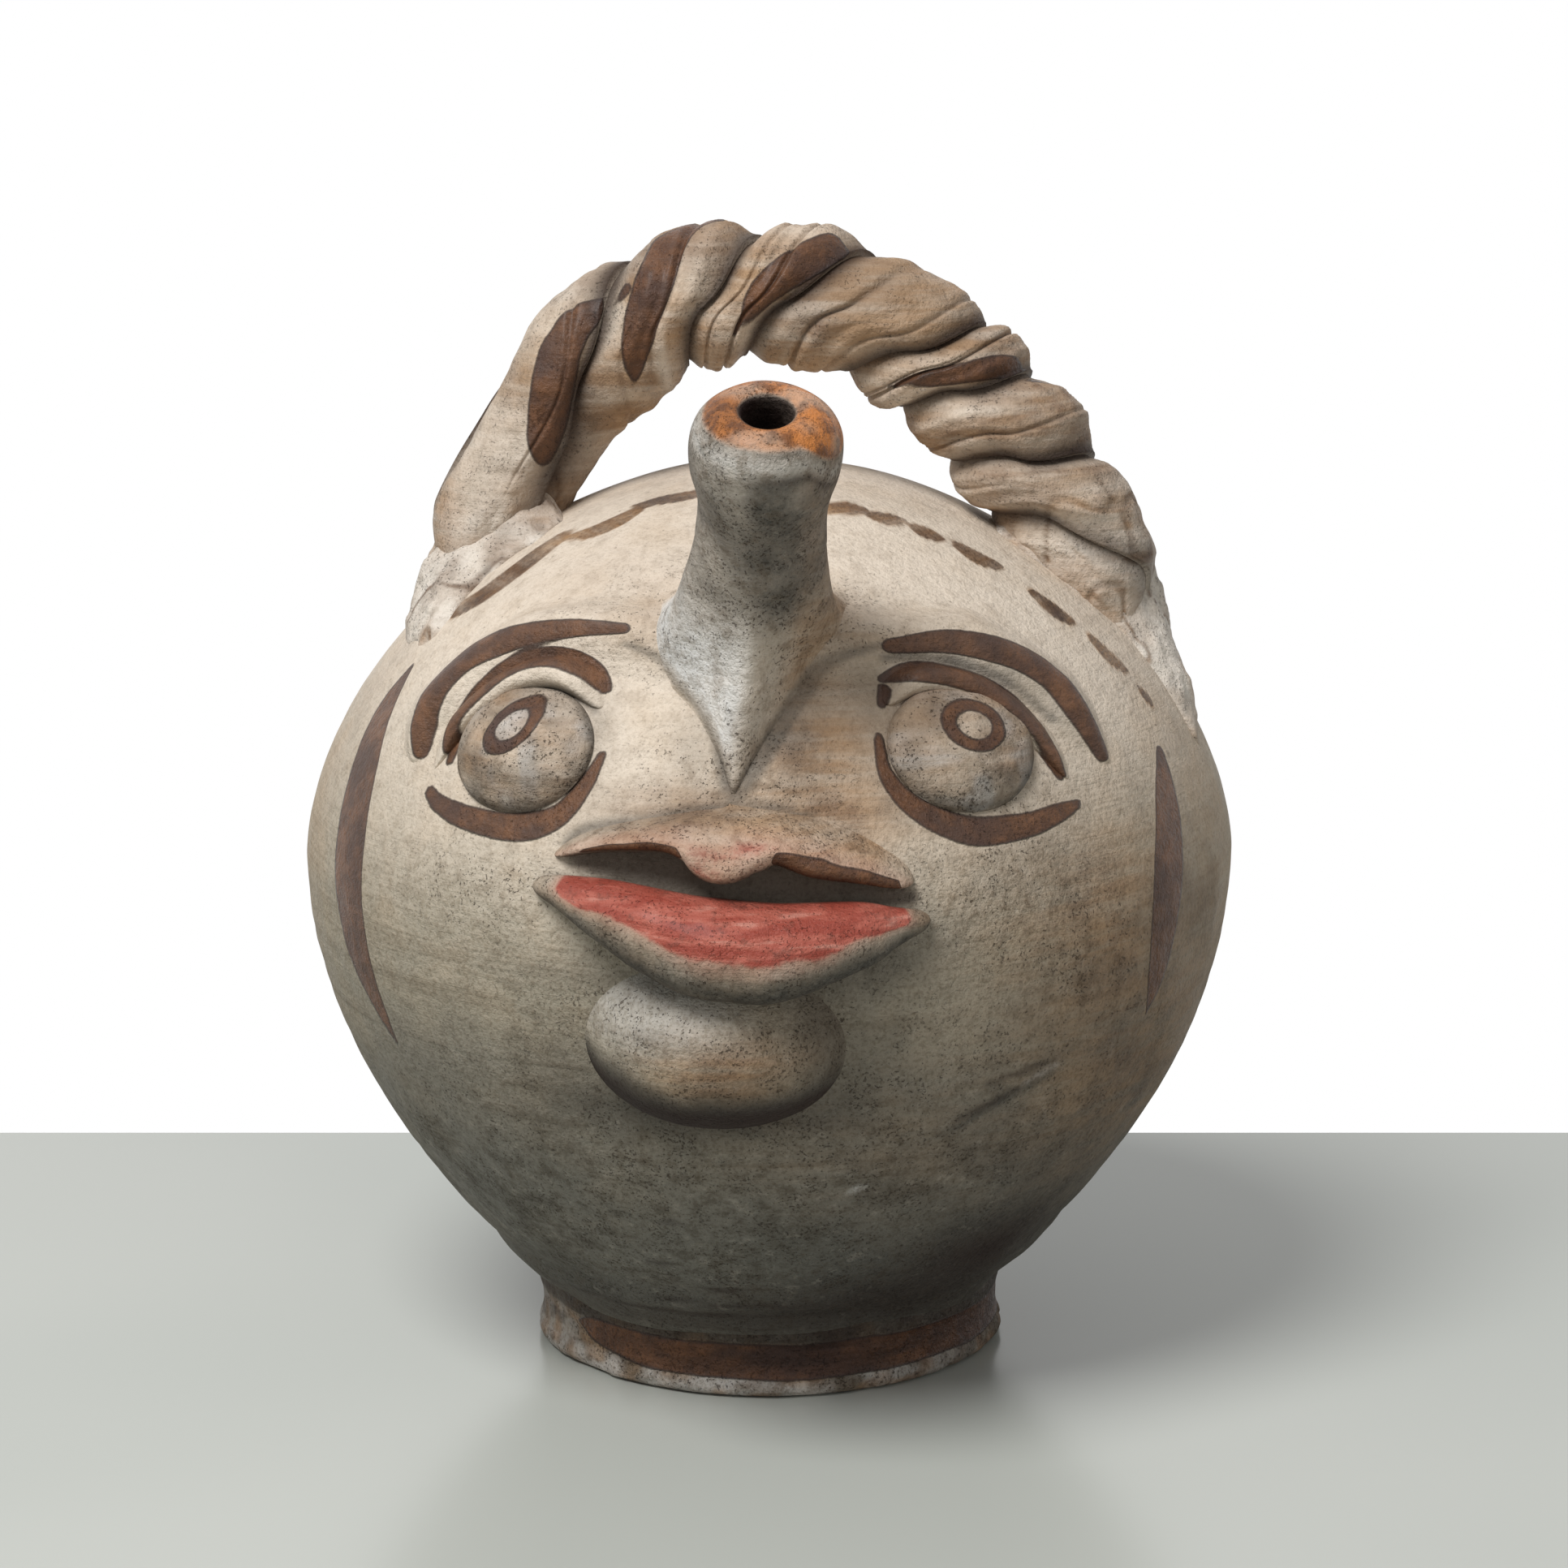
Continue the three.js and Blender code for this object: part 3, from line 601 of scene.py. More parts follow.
SIDEBURN_STROKES = [
    [[-64.8, 47.4, 0.6], [-63.8, 37.0, 4.8], [-60.2, 22.7, 7.0], [-57.8, 7.7, 7.4], [-55.8, -7.8, 6.2],
     [-53.0, -20.0, 3.7], [-49.6, -32.6, 0.4]],
    [[66.2, 30.4, 1.8], [62.6, 18.9, 5.4], [59.4, 2.8, 6.2], [58.2, -13.3, 4.2], [57.4, -24.2, 0.4]],
]
FACE_STROKES = BROW_STROKES + LID_STROKES + LOWER_LID_STROKES + SIDEBURN_STROKES
# The hair is brushed on thin, so that the slip shows through
HAIR_THINNESS = 0.12
# Iris rings: turn and rise of the middle, radius across, radius up, half width of the line, slant
IRIS_RINGS = [(-31.2, 43.2, 4.3, 5.4, 1.6, 0.28), (31.2, 44.6, 5.1, 4.7, 1.7, -0.08)]
# The dark slit between the lips, painted as the shade in the mouth's gap, creases painted with the shade that
# falls in them, scratches and gouges that dirt has filled, and chips that show pale clay: [turn, rise, half
# width] along each
MOUTH_SLIT = [
    [[-20.5, 18.0, 0.8], [-16.0, 18.0, 3.6], [-10.0, 17.6, 5.8], [0.0, 15.8, 7.4], [10.0, 15.0, 6.4],
     [17.5, 12.8, 3.2], [20.6, 11.4, 1.6]],
]
SHADED_CREASES = [
    [[-18.7, 59.4, 0.3], [-13.3, 57.0, 0.8], [-9.1, 52.1, 1.1], [-4.7, 46.6, 1.1], [-1.1, 32.8, 0.8]],
    [[21.8, 60.1, 0.6], [13.1, 56.8, 1.6], [9.4, 52.2, 2.2], [6.2, 46.4, 2.3], [0.4, 32.8, 1.4]],
    [[-39.0, 41.0, 0.4], [-34.0, 48.0, 1.0], [-27.2, 49.3, 1.0], [-21.9, 46.2, 0.5]],
    [[22.0, 57.4, 0.8], [27.0, 57.4, 1.3], [34.0, 55.0, 1.3], [41.0, 50.0, 0.9], [46.0, 42.5, 0.5]],
    [[-21.0, 20.8, 0.4], [-18.7, 24.0, 0.5], [-10.6, 26.8, 0.4], [-4.0, 29.0, 0.4], [3.0, 30.0, 0.7],
     [9.0, 27.6, 0.4]],
    [[26.0, -43.5, 0.3], [29.7, -41.2, 0.7], [33.7, -37.0, 1.1], [37.5, -34.6, 1.0], [41.4, -32.2, 0.5]],
]
SCRATCHES = [
    [[27.6, -40.6, 0.2], [30.0, -38.8, 0.7], [33.0, -36.8, 0.9], [36.4, -34.4, 0.3]],
    [[31.2, -32.2, 0.2], [34.6, -31.0, 0.6], [38.2, -29.8, 0.9], [41.0, -29.0, 0.3]],
    [[-17.2, -77.6, 0.3], [-14.9, -78.0, 1.0], [-12.4, -77.5, 0.3]],
    [[-13.0, -65.6, 0.2], [-10.9, -65.2, 0.8], [-9.0, -65.4, 0.2]],
    [[-9.0, -84.9, 0.3], [-4.9, -85.3, 1.0], [3.0, -85.0, 0.3]],
    [[-46.0, -91.6, 0.3], [-20.0, -93.6, 1.2], [5.0, -94.2, 1.5], [30.0, -93.6, 1.3], [56.0, -91.0, 0.4]],
    [[-24.0, -88.4, 0.2], [-4.0, -90.0, 1.0], [20.0, -90.2, 1.1], [44.0, -87.6, 0.3]],
]
CHIPS = [
    [[14.8, -56.4, 0.2], [16.2, -55.8, 0.9], [17.4, -55.2, 0.3]],
    [[37.0, -33.6, 0.2], [39.6, -31.8, 0.7], [41.8, -30.4, 0.3]],
]
# Stains on the skin, and painted shade under the lips and the chin, in the eye sockets, beside the nose and
# low on the right: [turn, rise, reach across, reach up, amount]
SOOT_AND_SHADE_STAINS = [
    [-6, 40, 6, 8, 0.35], [8, 42, 7, 10, 0.45], [-0.5, 31.5, 3, 2, 0.8], [0, 58, 22, 9, 0.3],
    [-21, 42, 5, 9, 0.3], [20, 46, 7, 12, 0.45], [0, -6, 36, 6, 0.7], [-15, 1, 9, 4, 0.12],
    [15, -1, 13, 6, 0.55], [24, 3, 13, 6, 0.45], [-3, -36, 32, 9, 0.75], [-20, -26, 9, 8, 0.3],
    [16, -22, 12, 12, 0.45], [30, -40, 40, 22, 0.3], [-40, -40, 35, 20, 0.2], [33, 12, 16, 8, 0.3],
    [40, 52, 14, 5, 0.4], [48, 44, 6, 8, 0.35], [-30, 28, 14, 4, 0.2], [30, 29, 14, 4, 0.25],
    [45, -76, 50, 15, 0.8], [64, -45, 36, 40, 0.6], [-45, -88, 70, 8, 0.45], [5, -93, 80, 5, 0.6],
    [34, -88, 36, 9, 0.7],
]
# Warm stains; those on the right cheek, low on the right and beside the nose on its right are partly painted
# warm shade
WARM_STAINS_AND_SHADE = [
    [-26, 70, 24, 9, 0.14], [15, 64, 9, 5, 0.55], [-16, 63, 9, 5, 0.3], [13, 40, 13, 15, 0.8],
    [13, 28, 16, 6, 0.6], [-12, 28, 14, 5, 0.35], [48, 0, 30, 24, 0.75], [60, -35, 36, 32, 0.8],
    [75, 10, 20, 50, 0.3], [-75, 20, 14, 60, 0.2], [0, 86, 70, 5, 0.15], [27, 42, 14, 10, 0.2],
    [20, -45, 40, 20, 0.25], [11, 46, 9, 9, 0.8], [8, 37, 9, 7, 0.7], [-6, 30, 14, 3.5, 0.6],
    [6, 30.5, 12, 4, 0.7], [13, 27, 9, 3.5, 0.6], [24, 60, 8, 4, 0.4],
]
# Painted shade under the chin and in the groove above the foot, and a darker patch low on the right
DARK_STAINS_AND_SHADE = [[-3, -36, 26, 5, 0.5], [45, -80, 22, 10, 0.85], [24, -90, 34, 7, 0.5], [5, -97, 75, 4, 0.45]]
PIT_STAINS = [
    [32, 10, 15, 9, 1.0], [-32, 30, 12, 7, 0.6], [32, 31, 12, 7, 0.7], [0, 34, 16, 7, 0.7],
    [-3, -15, 26, 14, 0.9], [0, 62, 26, 9, 0.5], [45, -10, 22, 14, 0.6], [-20, -60, 85, 26, 0.7],
    [20, -85, 80, 14, 0.8], [35, -45, 45, 20, 0.5], [-30, 8, 20, 8, 0.5],
]
# Points further than this from a stroke aren't measured, and the rest are measured so many at a time
STROKE_MARGIN = 10
STROKE_BATCH = 4000


def depth_in(points, strokes):
    """How deep each point lies inside the nearest stroke, in millimetres: below 0 is bare clay.
    strokes: the points along each, and its half width at them."""
    depth = np.full(len(points), NO_STROKE)
    for line, half_width in strokes:
        low, high = line.min(0) - STROKE_MARGIN, line.max(0) + STROKE_MARGIN
        near = np.flatnonzero(np.all((points > low) & (points < high), 1))
        for part in np.array_split(near, max(len(near) // STROKE_BATCH, 1)):
            apart = np.linalg.norm(points[part, None] - line[None], axis=-1)
            depth[part] = np.maximum(depth[part], np.max(half_width - apart, 1))
    return depth


def stroke_depth(points, strokes):
    """How deep points lie inside strokes of [turn, rise, half width] on the skin."""
    runs = [eased(rows, 80) for rows in strokes]
    skin, _ = on_skin(points)
    return depth_in(skin, [(skin_place(run[:, 0], run[:, 1])[0], run[:, 2]) for run in runs])


# How much of a list of spots, stains or painted shade, lies on each point
def stains_and_shade(points, spots):
    turn, rise = turn_and_rise(points)
    bare = np.ones(len(points))
    for spot_turn, spot_rise, across, up, amount in spots:
        radius = skin_radius(BELLY_HEIGHT + spot_rise)
        beside = np.radians((turn - spot_turn + 180) % 360 - 180) * radius
        bare *= 1 - amount * bell(beside, 0, across) * bell(rise, spot_rise, up)
    return 1 - bare


def iris_depth(points):
    skin, _ = on_skin(points)
    depth = np.full(len(points), NO_STROKE)
    for turn, rise, across, up, half_width, slant in IRIS_RINGS:
        middle, normal, right, over = face_axes(turn, rise)
        above = (skin - middle) @ over
        beside = (skin - middle) @ right - slant * above
        near = (skin - middle) @ normal > -STROKE_MARGIN
        ring = half_width - np.abs(np.hypot(beside / across, above / up) - 1) * (across + up) / 2
        depth = np.maximum(depth, np.where(near, ring, NO_STROKE))
    return depth


def face_layers(points):
    """What is painted and stain-marked on the face, with the shade painted into its creases and hollows,
    wherever a piece's points lie on it.
    """
    hair = stroke_depth(points, HAIR_STROKES)
    brushed = [stroke_depth(points, FACE_STROKES), iris_depth(points), np.minimum(hair, HAIR_THINNESS)]
    # Painted shade: dark lines in the creases beside the nose, under the brows and above the lip
    creased = 0.8 * smooth(-2.2, 0.8, stroke_depth(points, SHADED_CREASES))
    return {
        "stroke": np.maximum.reduce(brushed),
        "soot": np.maximum(stains_and_shade(points, SOOT_AND_SHADE_STAINS), creased),
        "warm": np.maximum(stains_and_shade(points, WARM_STAINS_AND_SHADE), smooth(-0.3, 0.5, hair)),
        "pits": 0.12 + stains_and_shade(points, PIT_STAINS),
    }


def keep(piece, node, slot, **layers):
    """Sets a finished piece on the jug in place of its solid."""
    paint(piece, **layers)
    piece.data.materials.append(finishes[slot])
    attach(piece, "root")
    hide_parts(node)


# Spout: its foot on the dome, and the way it points
SPOUT_TURN = 1.3
SPOUT_RISE = 59.5
SPOUT_LIFT = math.radians(54)
SPOUT_HEADING = math.radians(8.3)
SPOUT_TENON_RADIUS = 13.0
SPOUT_TENON_FOOT = -9.0
SPOUT_BORE_RADIUS = 8.5
SPOUT_MOUTH_RADIUS = 5.7
SPOUT_ANGLES = circle(1.5)
MOUTH_TILT = 0.15
NECK_ALONG = 31.0
NECK_RADIUS = 13.7
spout_foot, _ = skin_place(SPOUT_TURN, SPOUT_RISE)
spout_right = np.array([math.cos(SPOUT_HEADING), math.sin(SPOUT_HEADING), 0.0])
spout_ahead = np.array([math.sin(SPOUT_HEADING), -math.cos(SPOUT_HEADING), 0.0])
spout_axis = spout_ahead * math.cos(SPOUT_LIFT) + UP * math.sin(SPOUT_LIFT)
spout_front = np.cross(spout_right, spout_axis)
# The foot of the spout's flare and of the nose below it, round on the face: [turn, rise]
NOSE_FOOT = [
    [-0.6, 31.0], [2.4, 39.5], [5.7, 46.7], [9.0, 52.4], [13.1, 56.8], [20.8, 60.4], [23.5, 66.0],
    [15.5, 71.0], [1.3, 73.0], [-13.0, 71.0], [-21.0, 66.0], [-19.6, 60.0], [-15.2, 56.2], [-10.8, 51.4],
    [-6.2, 46.2], [-3.0, 39.5], [-0.6, 31.0],
]
NOSE_TIP_ANGLE = math.radians(98)
# How far the flare dips below the nose where the nose covers it
NOSE_LAP = 0.6
# A thumb drawn along the nose rounds it over so many steps of angle to each side
THUMB_WIDTH = 7
THUMB_REACH = 18


def spout_ring(radius, along, angles=SPOUT_ANGLES):
    out = spout_right * np.cos(angles)[:, None] + spout_front * np.sin(angles)[:, None]
    return spout_foot + spout_axis * along + out * radius


def from_axis(points):
    """How far along the spout's axis points lie, and the way from the axis out to them."""
    along = (points - spout_foot) @ spout_axis
    return along, points - spout_foot - along[..., None] * spout_axis


def stroked_by_thumb(rows):
    steps = np.arange(-THUMB_REACH, THUMB_REACH + 1)
    weights = bell(steps, 0, THUMB_WIDTH) / (THUMB_WIDTH * math.sqrt(math.pi))
    return sum(weight * np.roll(rows, step, 1) for step, weight in zip(steps, weights))


def nose_form(share):
    """Rows of points from the foot on the face (share 0) up to the spout's neck (share 1).
    Also how much of each point is nose, and its angle from the nose's tip."""
    angles = SPOUT_ANGLES
    turn, rise = eased(NOSE_FOOT, 600).T
    outline, _ = skin_place(turn, rise)
    at = np.arctan2((outline - spout_foot) @ spout_front, (outline - spout_foot) @ spout_right)
    foot, normal = skin_place(*(np.interp(angles, at, values, period=2 * np.pi) for values in (turn, rise)))
    inward = spout_foot - foot
    inward = inward - normal * np.sum(inward * normal, -1, keepdims=True)
    width = np.linalg.norm(inward, axis=-1, keepdims=True)
    inward = inward / width
    facing = np.cos(angles - NOSE_TIP_ANGLE)[:, None]
    creased = smooth(-0.42, 0.15, facing)
    shoulder = creased * smooth(0.75, 0.25, facing)
    tip = smooth(0.9, 1, facing)
    first = foot - normal * FEATHER
    flared = inward * 0.55 * np.maximum(width - NECK_RADIUS, 2)
    raised = normal * (4.5 + 3 * tip) + inward * (3 + 3 * tip)
    leave = first + flared * (1 - creased) + raised * creased
    neck = spout_ring(NECK_RADIUS, NECK_ALONG)
    arrive = neck - spout_axis * 19 - inward * 4 * shoulder
    t = np.asarray(share)[:, None, None]
    rows = (1 - t) ** 3 * first + 3 * (1 - t) ** 2 * t * leave + 3 * (1 - t) * t**2 * arrive + t**3 * neck
    rows = rows + (stroked_by_thumb(rows) - rows) * smooth(0.02, 0.3, t)
    apart = np.abs((angles - NOSE_TIP_ANGLE + np.pi) % (2 * np.pi) - np.pi)
    nose = smooth(0.6, 0.42, share)[:, None] * smooth(1.25, 0.95, apart)
    return rows, nose, apart


def nose_tone(points):
    """How sooty, warm, white and pitted the nose is, from its tip up to the spout's neck, with painted shade
    on its right side and a painted highlight on its left. It feathers into the skin's own stain and shade
    layers."""
    along, _ = from_axis(points)
    side = (points - spout_foot) @ spout_right + 5 * smooth(182, 146, points[..., 2])
    neck = smooth(6, 30, along)
    band = bell(side, 2, 4.5)
    uneven = lumps(squeezed(points, 1, 0.35), 6, 25)
    neck_soot = 0.74 - 0.2 * smooth(4, 10, side) + 0.26 * band + 0.25 * uneven
    tip_soot = 0.05 + 0.25 * band + 0.2 * uneven
    tone = {
        "soot": neck * neck_soot + (1 - neck) * tip_soot,
        # Painted shade: warmer towards the right side. Painted highlight: whiter towards the left side
        "warm": 0.8 * smooth(3, 10, side) * (1 - 0.2 * neck),
        "white": smooth(1.0, -5, side) * (1 - 0.85 * neck),
        "pits": 0.6 + 0.3 * neck,
    }
    proud, _ = proud_of_skin(points)
    own = np.maximum(smooth(0.3, 4, proud), smooth(4, 12, along))
    skin = {"white": 0.0, **face_layers(points)}
    blended = {layer: np.clip(tone[layer] * own + skin[layer] * (1 - own), 0, 1) for layer in tone}
    return {**blended, "stroke": skin["stroke"]}


# Body: a thrown shell, finely modelled at the front, with the hole that the spout opens into
def cut_away(piece, tool):
    cut = piece.modifiers.new("cut", "BOOLEAN")
    cut.operation = "DIFFERENCE"
    cut.solver = "MANIFOLD"
    cut.object = tool
    cut_mesh = bpy.data.meshes.new_from_object(piece.evaluated_get(bpy.context.evaluated_depsgraph_get()))
    piece.modifiers.clear()
    cut_mesh.materials.clear()
    cut_mesh.polygons.foreach_set("material_index", np.zeros(len(cut_mesh.polygons), np.int32))
    piece.data = cut_mesh
    bpy.data.objects.remove(tool)


def even_steps(profile, step):
    lengths = lengths_along(profile)
    return points_at(profile, lengths, np.linspace(0, lengths[-1], int(lengths[-1] / step) + 1))


def vessel_profile(inset, step):
    """The body's profile, from the seat up to just below the crown, so far inside its skin."""
    seat = SEAT_HEIGHT + inset
    height = np.linspace(seat, BELLY_HEIGHT, 200)
    below = (BELLY_HEIGHT - height) / (BELLY_HEIGHT - seat)
    belly = BELLY_RADIUS - inset
    bowl = np.stack([belly - (belly - SEAT_RADIUS + inset) * below**2, height], -1)
    climb = np.linspace(0, np.pi / 2, 300)[1:]
    radius = belly * np.maximum(np.cos(climb), 0) ** DOME_SIDE_POWER
    dome = np.stack([radius, BELLY_HEIGHT + (DOME_RISE - inset) * np.sin(climb) ** DOME_TOP_POWER], -1)
    return even_steps(np.vstack([bowl, dome]), step)[:-1]


FACE_HALF_TURN = 80
SPOUT_HOLE_GAP = 0.3
SPOUT_HOLE_REACH = 20.0


def body_shell():
    face = np.arange(-FACE_HALF_TURN, FACE_HALF_TURN, 0.6)
    back = np.arange(FACE_HALF_TURN, 360 - FACE_HALF_TURN, 2.0)
    heights = vessel_profile(0, 1.35)[:, 1]
    rise, turn = np.meshgrid(heights - BELLY_HEIGHT, np.concatenate([face, back]), indexing="ij")
    rings, _ = skin_place(turn, rise)
    shell = lofted("body_shell_skin", rings)
    cut_away(shell, lofted("hollow", turned(vessel_profile(WALL, 6), circle(4.0))))
    depths = (-SPOUT_HOLE_REACH, 0.0, SPOUT_HOLE_REACH)
    hole = [spout_ring(SPOUT_TENON_RADIUS + SPOUT_HOLE_GAP, along, circle(9.0)) for along in depths]
    cut_away(shell, lofted("spout_hole", np.stack(hole)))
    shell.data.polygons.foreach_set("use_smooth", np.ones(len(shell.data.polygons), bool))
    points = places_of(shell)
    # Painted shade: the mouth's gap between the lips is painted dark
    slit = 0.7 * smooth(-0.8, 1.2, stroke_depth(points, MOUTH_SLIT))
    scratched = 0.6 * smooth(-0.7, 0.6, stroke_depth(points, SCRATCHES))
    keep(
        shell, "body_shell", "cream_slip",
        dark=np.maximum.reduce([slit, stains_and_shade(points, DARK_STAINS_AND_SHADE), scratched]),
        white=0.8 * smooth(-0.6, 0.6, stroke_depth(points, CHIPS)),
        **face_layers(points),
    )


# Foot: a thick disc with a worn, chipped rim and a brushed brown band. Profiles: [radius, height]
FOOT_UNDER = [[0.5, 0.0], [30, 0.0], [48, 0.0]]
FOOT_SIDE = [
    [51.4, 0.2], [52.8, 0.9], [53.4, 2.0], [53.3, 3.4], [52.7, 5.0], [52.4, 7.0], [52.4, 9.0], [52.6, 11.0],
    [53.0, 12.8], [53.3, 14.2], [53.7, 15.6], [54.6, 17.2], [55.6, 18.4],
]
FOOT_TOP = [[53, 17.0], [48, 14.5], [30, 14.5], [0.5, 14.5]]
FOOT_SIDE_ROWS = 80


def foot_wear(rings):
    """How far the foot's side is worn, chipped and smeared out of round."""
    height = rings[..., 2]
    rim = bell(height, 2, 2.5)
    chips = 1.7 * rim * np.minimum(lumps(rings, 5.5, 11) + 0.2, 0)
    smeared = smooth(9, 13, height) * smooth(18.5, 16, height) * lumps(squeezed(rings, 0.3, 1), 3.2, 18)
    uneven = 0.35 * lumps(rings, 20, 12) + 0.25 * lumps(rings, 6, 13) * (0.4 + 1.4 * rim)
    return smooth(45, 50, np.linalg.norm(rings[..., :2], axis=-1)) * (0.8 * smeared + uneven + chips)


def foot_tones(points):
    height = points[:, 2]
    turn, _ = turn_and_rise(points)
    left = smooth(-25, -60, turn)
    middle = 8.9 + 0.8 * lumps(points, 16, 14) + 2.0 * left
    band = 4.3 - 2.0 * left - np.abs(height - middle)
    reach = np.clip(smooth(-62, -44, turn) + smooth(-146, -172, turn), 0, 1)
    band = band - 5 * (1 - reach) * (1 + 0.3 * lumps(points, 5, 20))
    side = smooth(49.5, 50.4, np.linalg.norm(points[:, :2], axis=1)) > 0.5
    soot = np.clip(0.2 + 0.3 * lumps(points, 9, 15), 0, 0.8)
    rim_white = smooth(7, 4.5, height) * smooth(-0.6, 0.1, lumps(points, 7, 16)) * smooth(80, 15, turn)
    left_white = 0.7 * smooth(-46, -58, turn) * smooth(15, 11, height)
    streaks = 0.3 * smooth(0.1, 0.6, lumps(squeezed(points, 1, 2.5), 14, 17))
    streaks = streaks + 0.4 * smooth(0.0, 0.5, lumps(squeezed(points, 0.22, 1), 1.9, 22))
    # Painted shade: the top of the foot darkens into the groove under the body's seat
    seam_shade = 0.4 * smooth(12.4, 13.4, height) * smooth(17, 15, height)
    return {
        "stroke": np.where(side, band, NO_STROKE),
        # Painted shade: greyer towards the top of the foot, in the groove under the body
        "soot": np.maximum(soot, 0.8 * smooth(11.5, 13.5, height)),
        "warm": 0.3 + 0.45 * smooth(-0.2, 0.5, lumps(points, 4, 19)),
        "white": np.maximum(rim_white, left_white),
        "dark": np.maximum(streaks * smooth(4, 6, height), seam_shade),
        "pits": 0.9,
    }


def foot_disc():
    profile = np.vstack([FOOT_UNDER, eased(FOOT_SIDE, FOOT_SIDE_ROWS), FOOT_TOP])
    angles = circle(1.5)
    rings = turned(profile, angles)
    rings = rings + foot_wear(rings)[..., None] * around(angles)
    outer = rings[: -len(FOOT_TOP)]
    proud, normal = proud_of_skin(outer)
    smear = (proud + FEATHER) * smooth(14.6, 17.8, outer[..., 2])
    rings[: len(outer)] = outer - normal * smear[..., None]
    piece = lofted("foot_disc_band", rings)
    keep(piece, "foot_disc", "brown_paint", **foot_tones(places_of(piece)))


# Spout: a flare drawn out of the dome, a hand-squeezed neck and a ball lip, with the bore inside
# From the neck up over the lip into the mouth, then down the bore and out round the tenon: [radius, along]
SPOUT_LIP = [
    [NECK_RADIUS, NECK_ALONG], [13.3, 38], [13.4, 43], [14.2, 48], [15.2, 52.5], [15.6, 57], [15.3, 61],
    [14.2, 64.6], [12.0, 67.4], [9.4, 68.9], [7.2, 69.1], [5.7, 68.2], [5.2, 66.5], [5.2, 62],
]
SPOUT_BORE = [
    [SPOUT_MOUTH_RADIUS, 56.0], [6.6, 45.0], [SPOUT_BORE_RADIUS, 32.0], [SPOUT_BORE_RADIUS, 10.0],
    [SPOUT_BORE_RADIUS, SPOUT_TENON_FOOT], [SPOUT_TENON_RADIUS, SPOUT_TENON_FOOT], [SPOUT_TENON_RADIUS, -4.0],
]
NOSE_ROWS = 56
LIP_ROWS = 90
# Rows of the lip that lie inside the mouth
LIP_ROWS_INSIDE = 14


def spout_rings():
    """The spout's rings, how far along and out from its axis their points lie, and which are outside."""
    flare, nose, _ = nose_form(np.linspace(0, 1, NOSE_ROWS))
    _, away = from_axis(flare)
    flare = flare - unit(away) * (NOSE_LAP * nose)[..., None]
    tube = [spout_ring(radius, along) for radius, along in [*eased(SPOUT_LIP, LIP_ROWS)[1:], *SPOUT_BORE]]
    rings = np.concatenate([flare, tube])
    along, away = from_axis(rings)
    outside = np.zeros(rings.shape[:2])
    outside[: -len(SPOUT_BORE) - LIP_ROWS_INSIDE] = 1
    held = smooth(2, 16, along) * smooth(69, 60, along) * outside
    squeeze = 0.35 * lumps(rings, 16, 21) + 0.18 * lumps(rings, 6, 22) + 0.35 * np.cos(3 * SPOUT_ANGLES + 0.8)
    rim = 0.25 * smooth(60, 68, along) * outside * lumps(rings, 7, 23)
    rings = rings + unit(away) * (held * squeeze + rim)[..., None]
    tilt = MOUTH_TILT * smooth(48, 64, along) * (away @ spout_front)
    return rings + spout_axis * tilt[..., None], along, np.linalg.norm(away, axis=-1), outside


def spout():
    rings, along, radius, outside = spout_rings()
    piece = lofted("spout_nose", rings, loop=True)
    front, right = np.sin(SPOUT_ANGLES), np.cos(SPOUT_ANGLES)
    line = 66.4 + 0.7 * lumps(rings, 9, 24) + 0.6 * front - 6.5 * smooth(0.45, 1, right)
    cap = smooth(-0.6, 0.6, along - line) * (1 - 0.4 * smooth(-0.2, 0.5, lumps(rings, 5, 27)))
    inside = smooth(0.5, -0.5, radius - (SPOUT_MOUTH_RADIUS + 0.2))
    inside[:NOSE_ROWS] = 0
    tone = {layer: value.reshape(along.shape) for layer, value in nose_tone(rings.reshape(-1, 3)).items()}
    ball = smooth(46, 54, along) * outside
    pale = bell(along - line, -3.2, 2.2) * ball
    drip = bell(along - line + 1.2 * lumps(rings, 8, 28), -6.5, 1.0) * ball * smooth(-0.35, 0.25, right)
    layers = {
        "orange": cap * (1 - inside),
        "soot": tone["soot"] * (1 - cap) * (1 - 0.55 * pale),
        "warm": tone["warm"] * (1 - cap) * (1 - 0.5 * pale),
        # Painted shade: the inside of the mouth and bore is painted nearly black
        "dark": np.clip(inside * 0.95 + 0.5 * drip + 0.35 * cap * smooth(0.2, 1, -right), 0, 1),
        "white": np.clip(tone["white"] + 0.5 * pale, 0, 1),
        "pits": tone["pits"],
        "stroke": tone["stroke"],
    }
    keep(piece, "spout", "greyed_slip", **{layer: value.ravel() for layer, value in layers.items()})


def ridge_piece(name, rows, section, unevenness=0.25, drips=0.0, **options):
    """A ridge of clay on the body, with its rings and how far along it each lies."""
    rings, share = ridge_rings(rows, section, **options)
    top = np.concatenate([section[:, 2], np.zeros(len(RIDGE_UNDERSIDE))])
    _, normal = on_skin(rings)
    rough = unevenness * (lumps(rings, 7, 31) + 0.5 * lumps(rings, 3, 32))
    rough = rough + drips * (lumps(squeezed(rings, 1, 0.28), 5, 33) + 0.4 * lumps(rings, 2.6, 34))
    rings = rings + normal * (rough * top)[..., None]
    return lofted(name, rings), rings, share


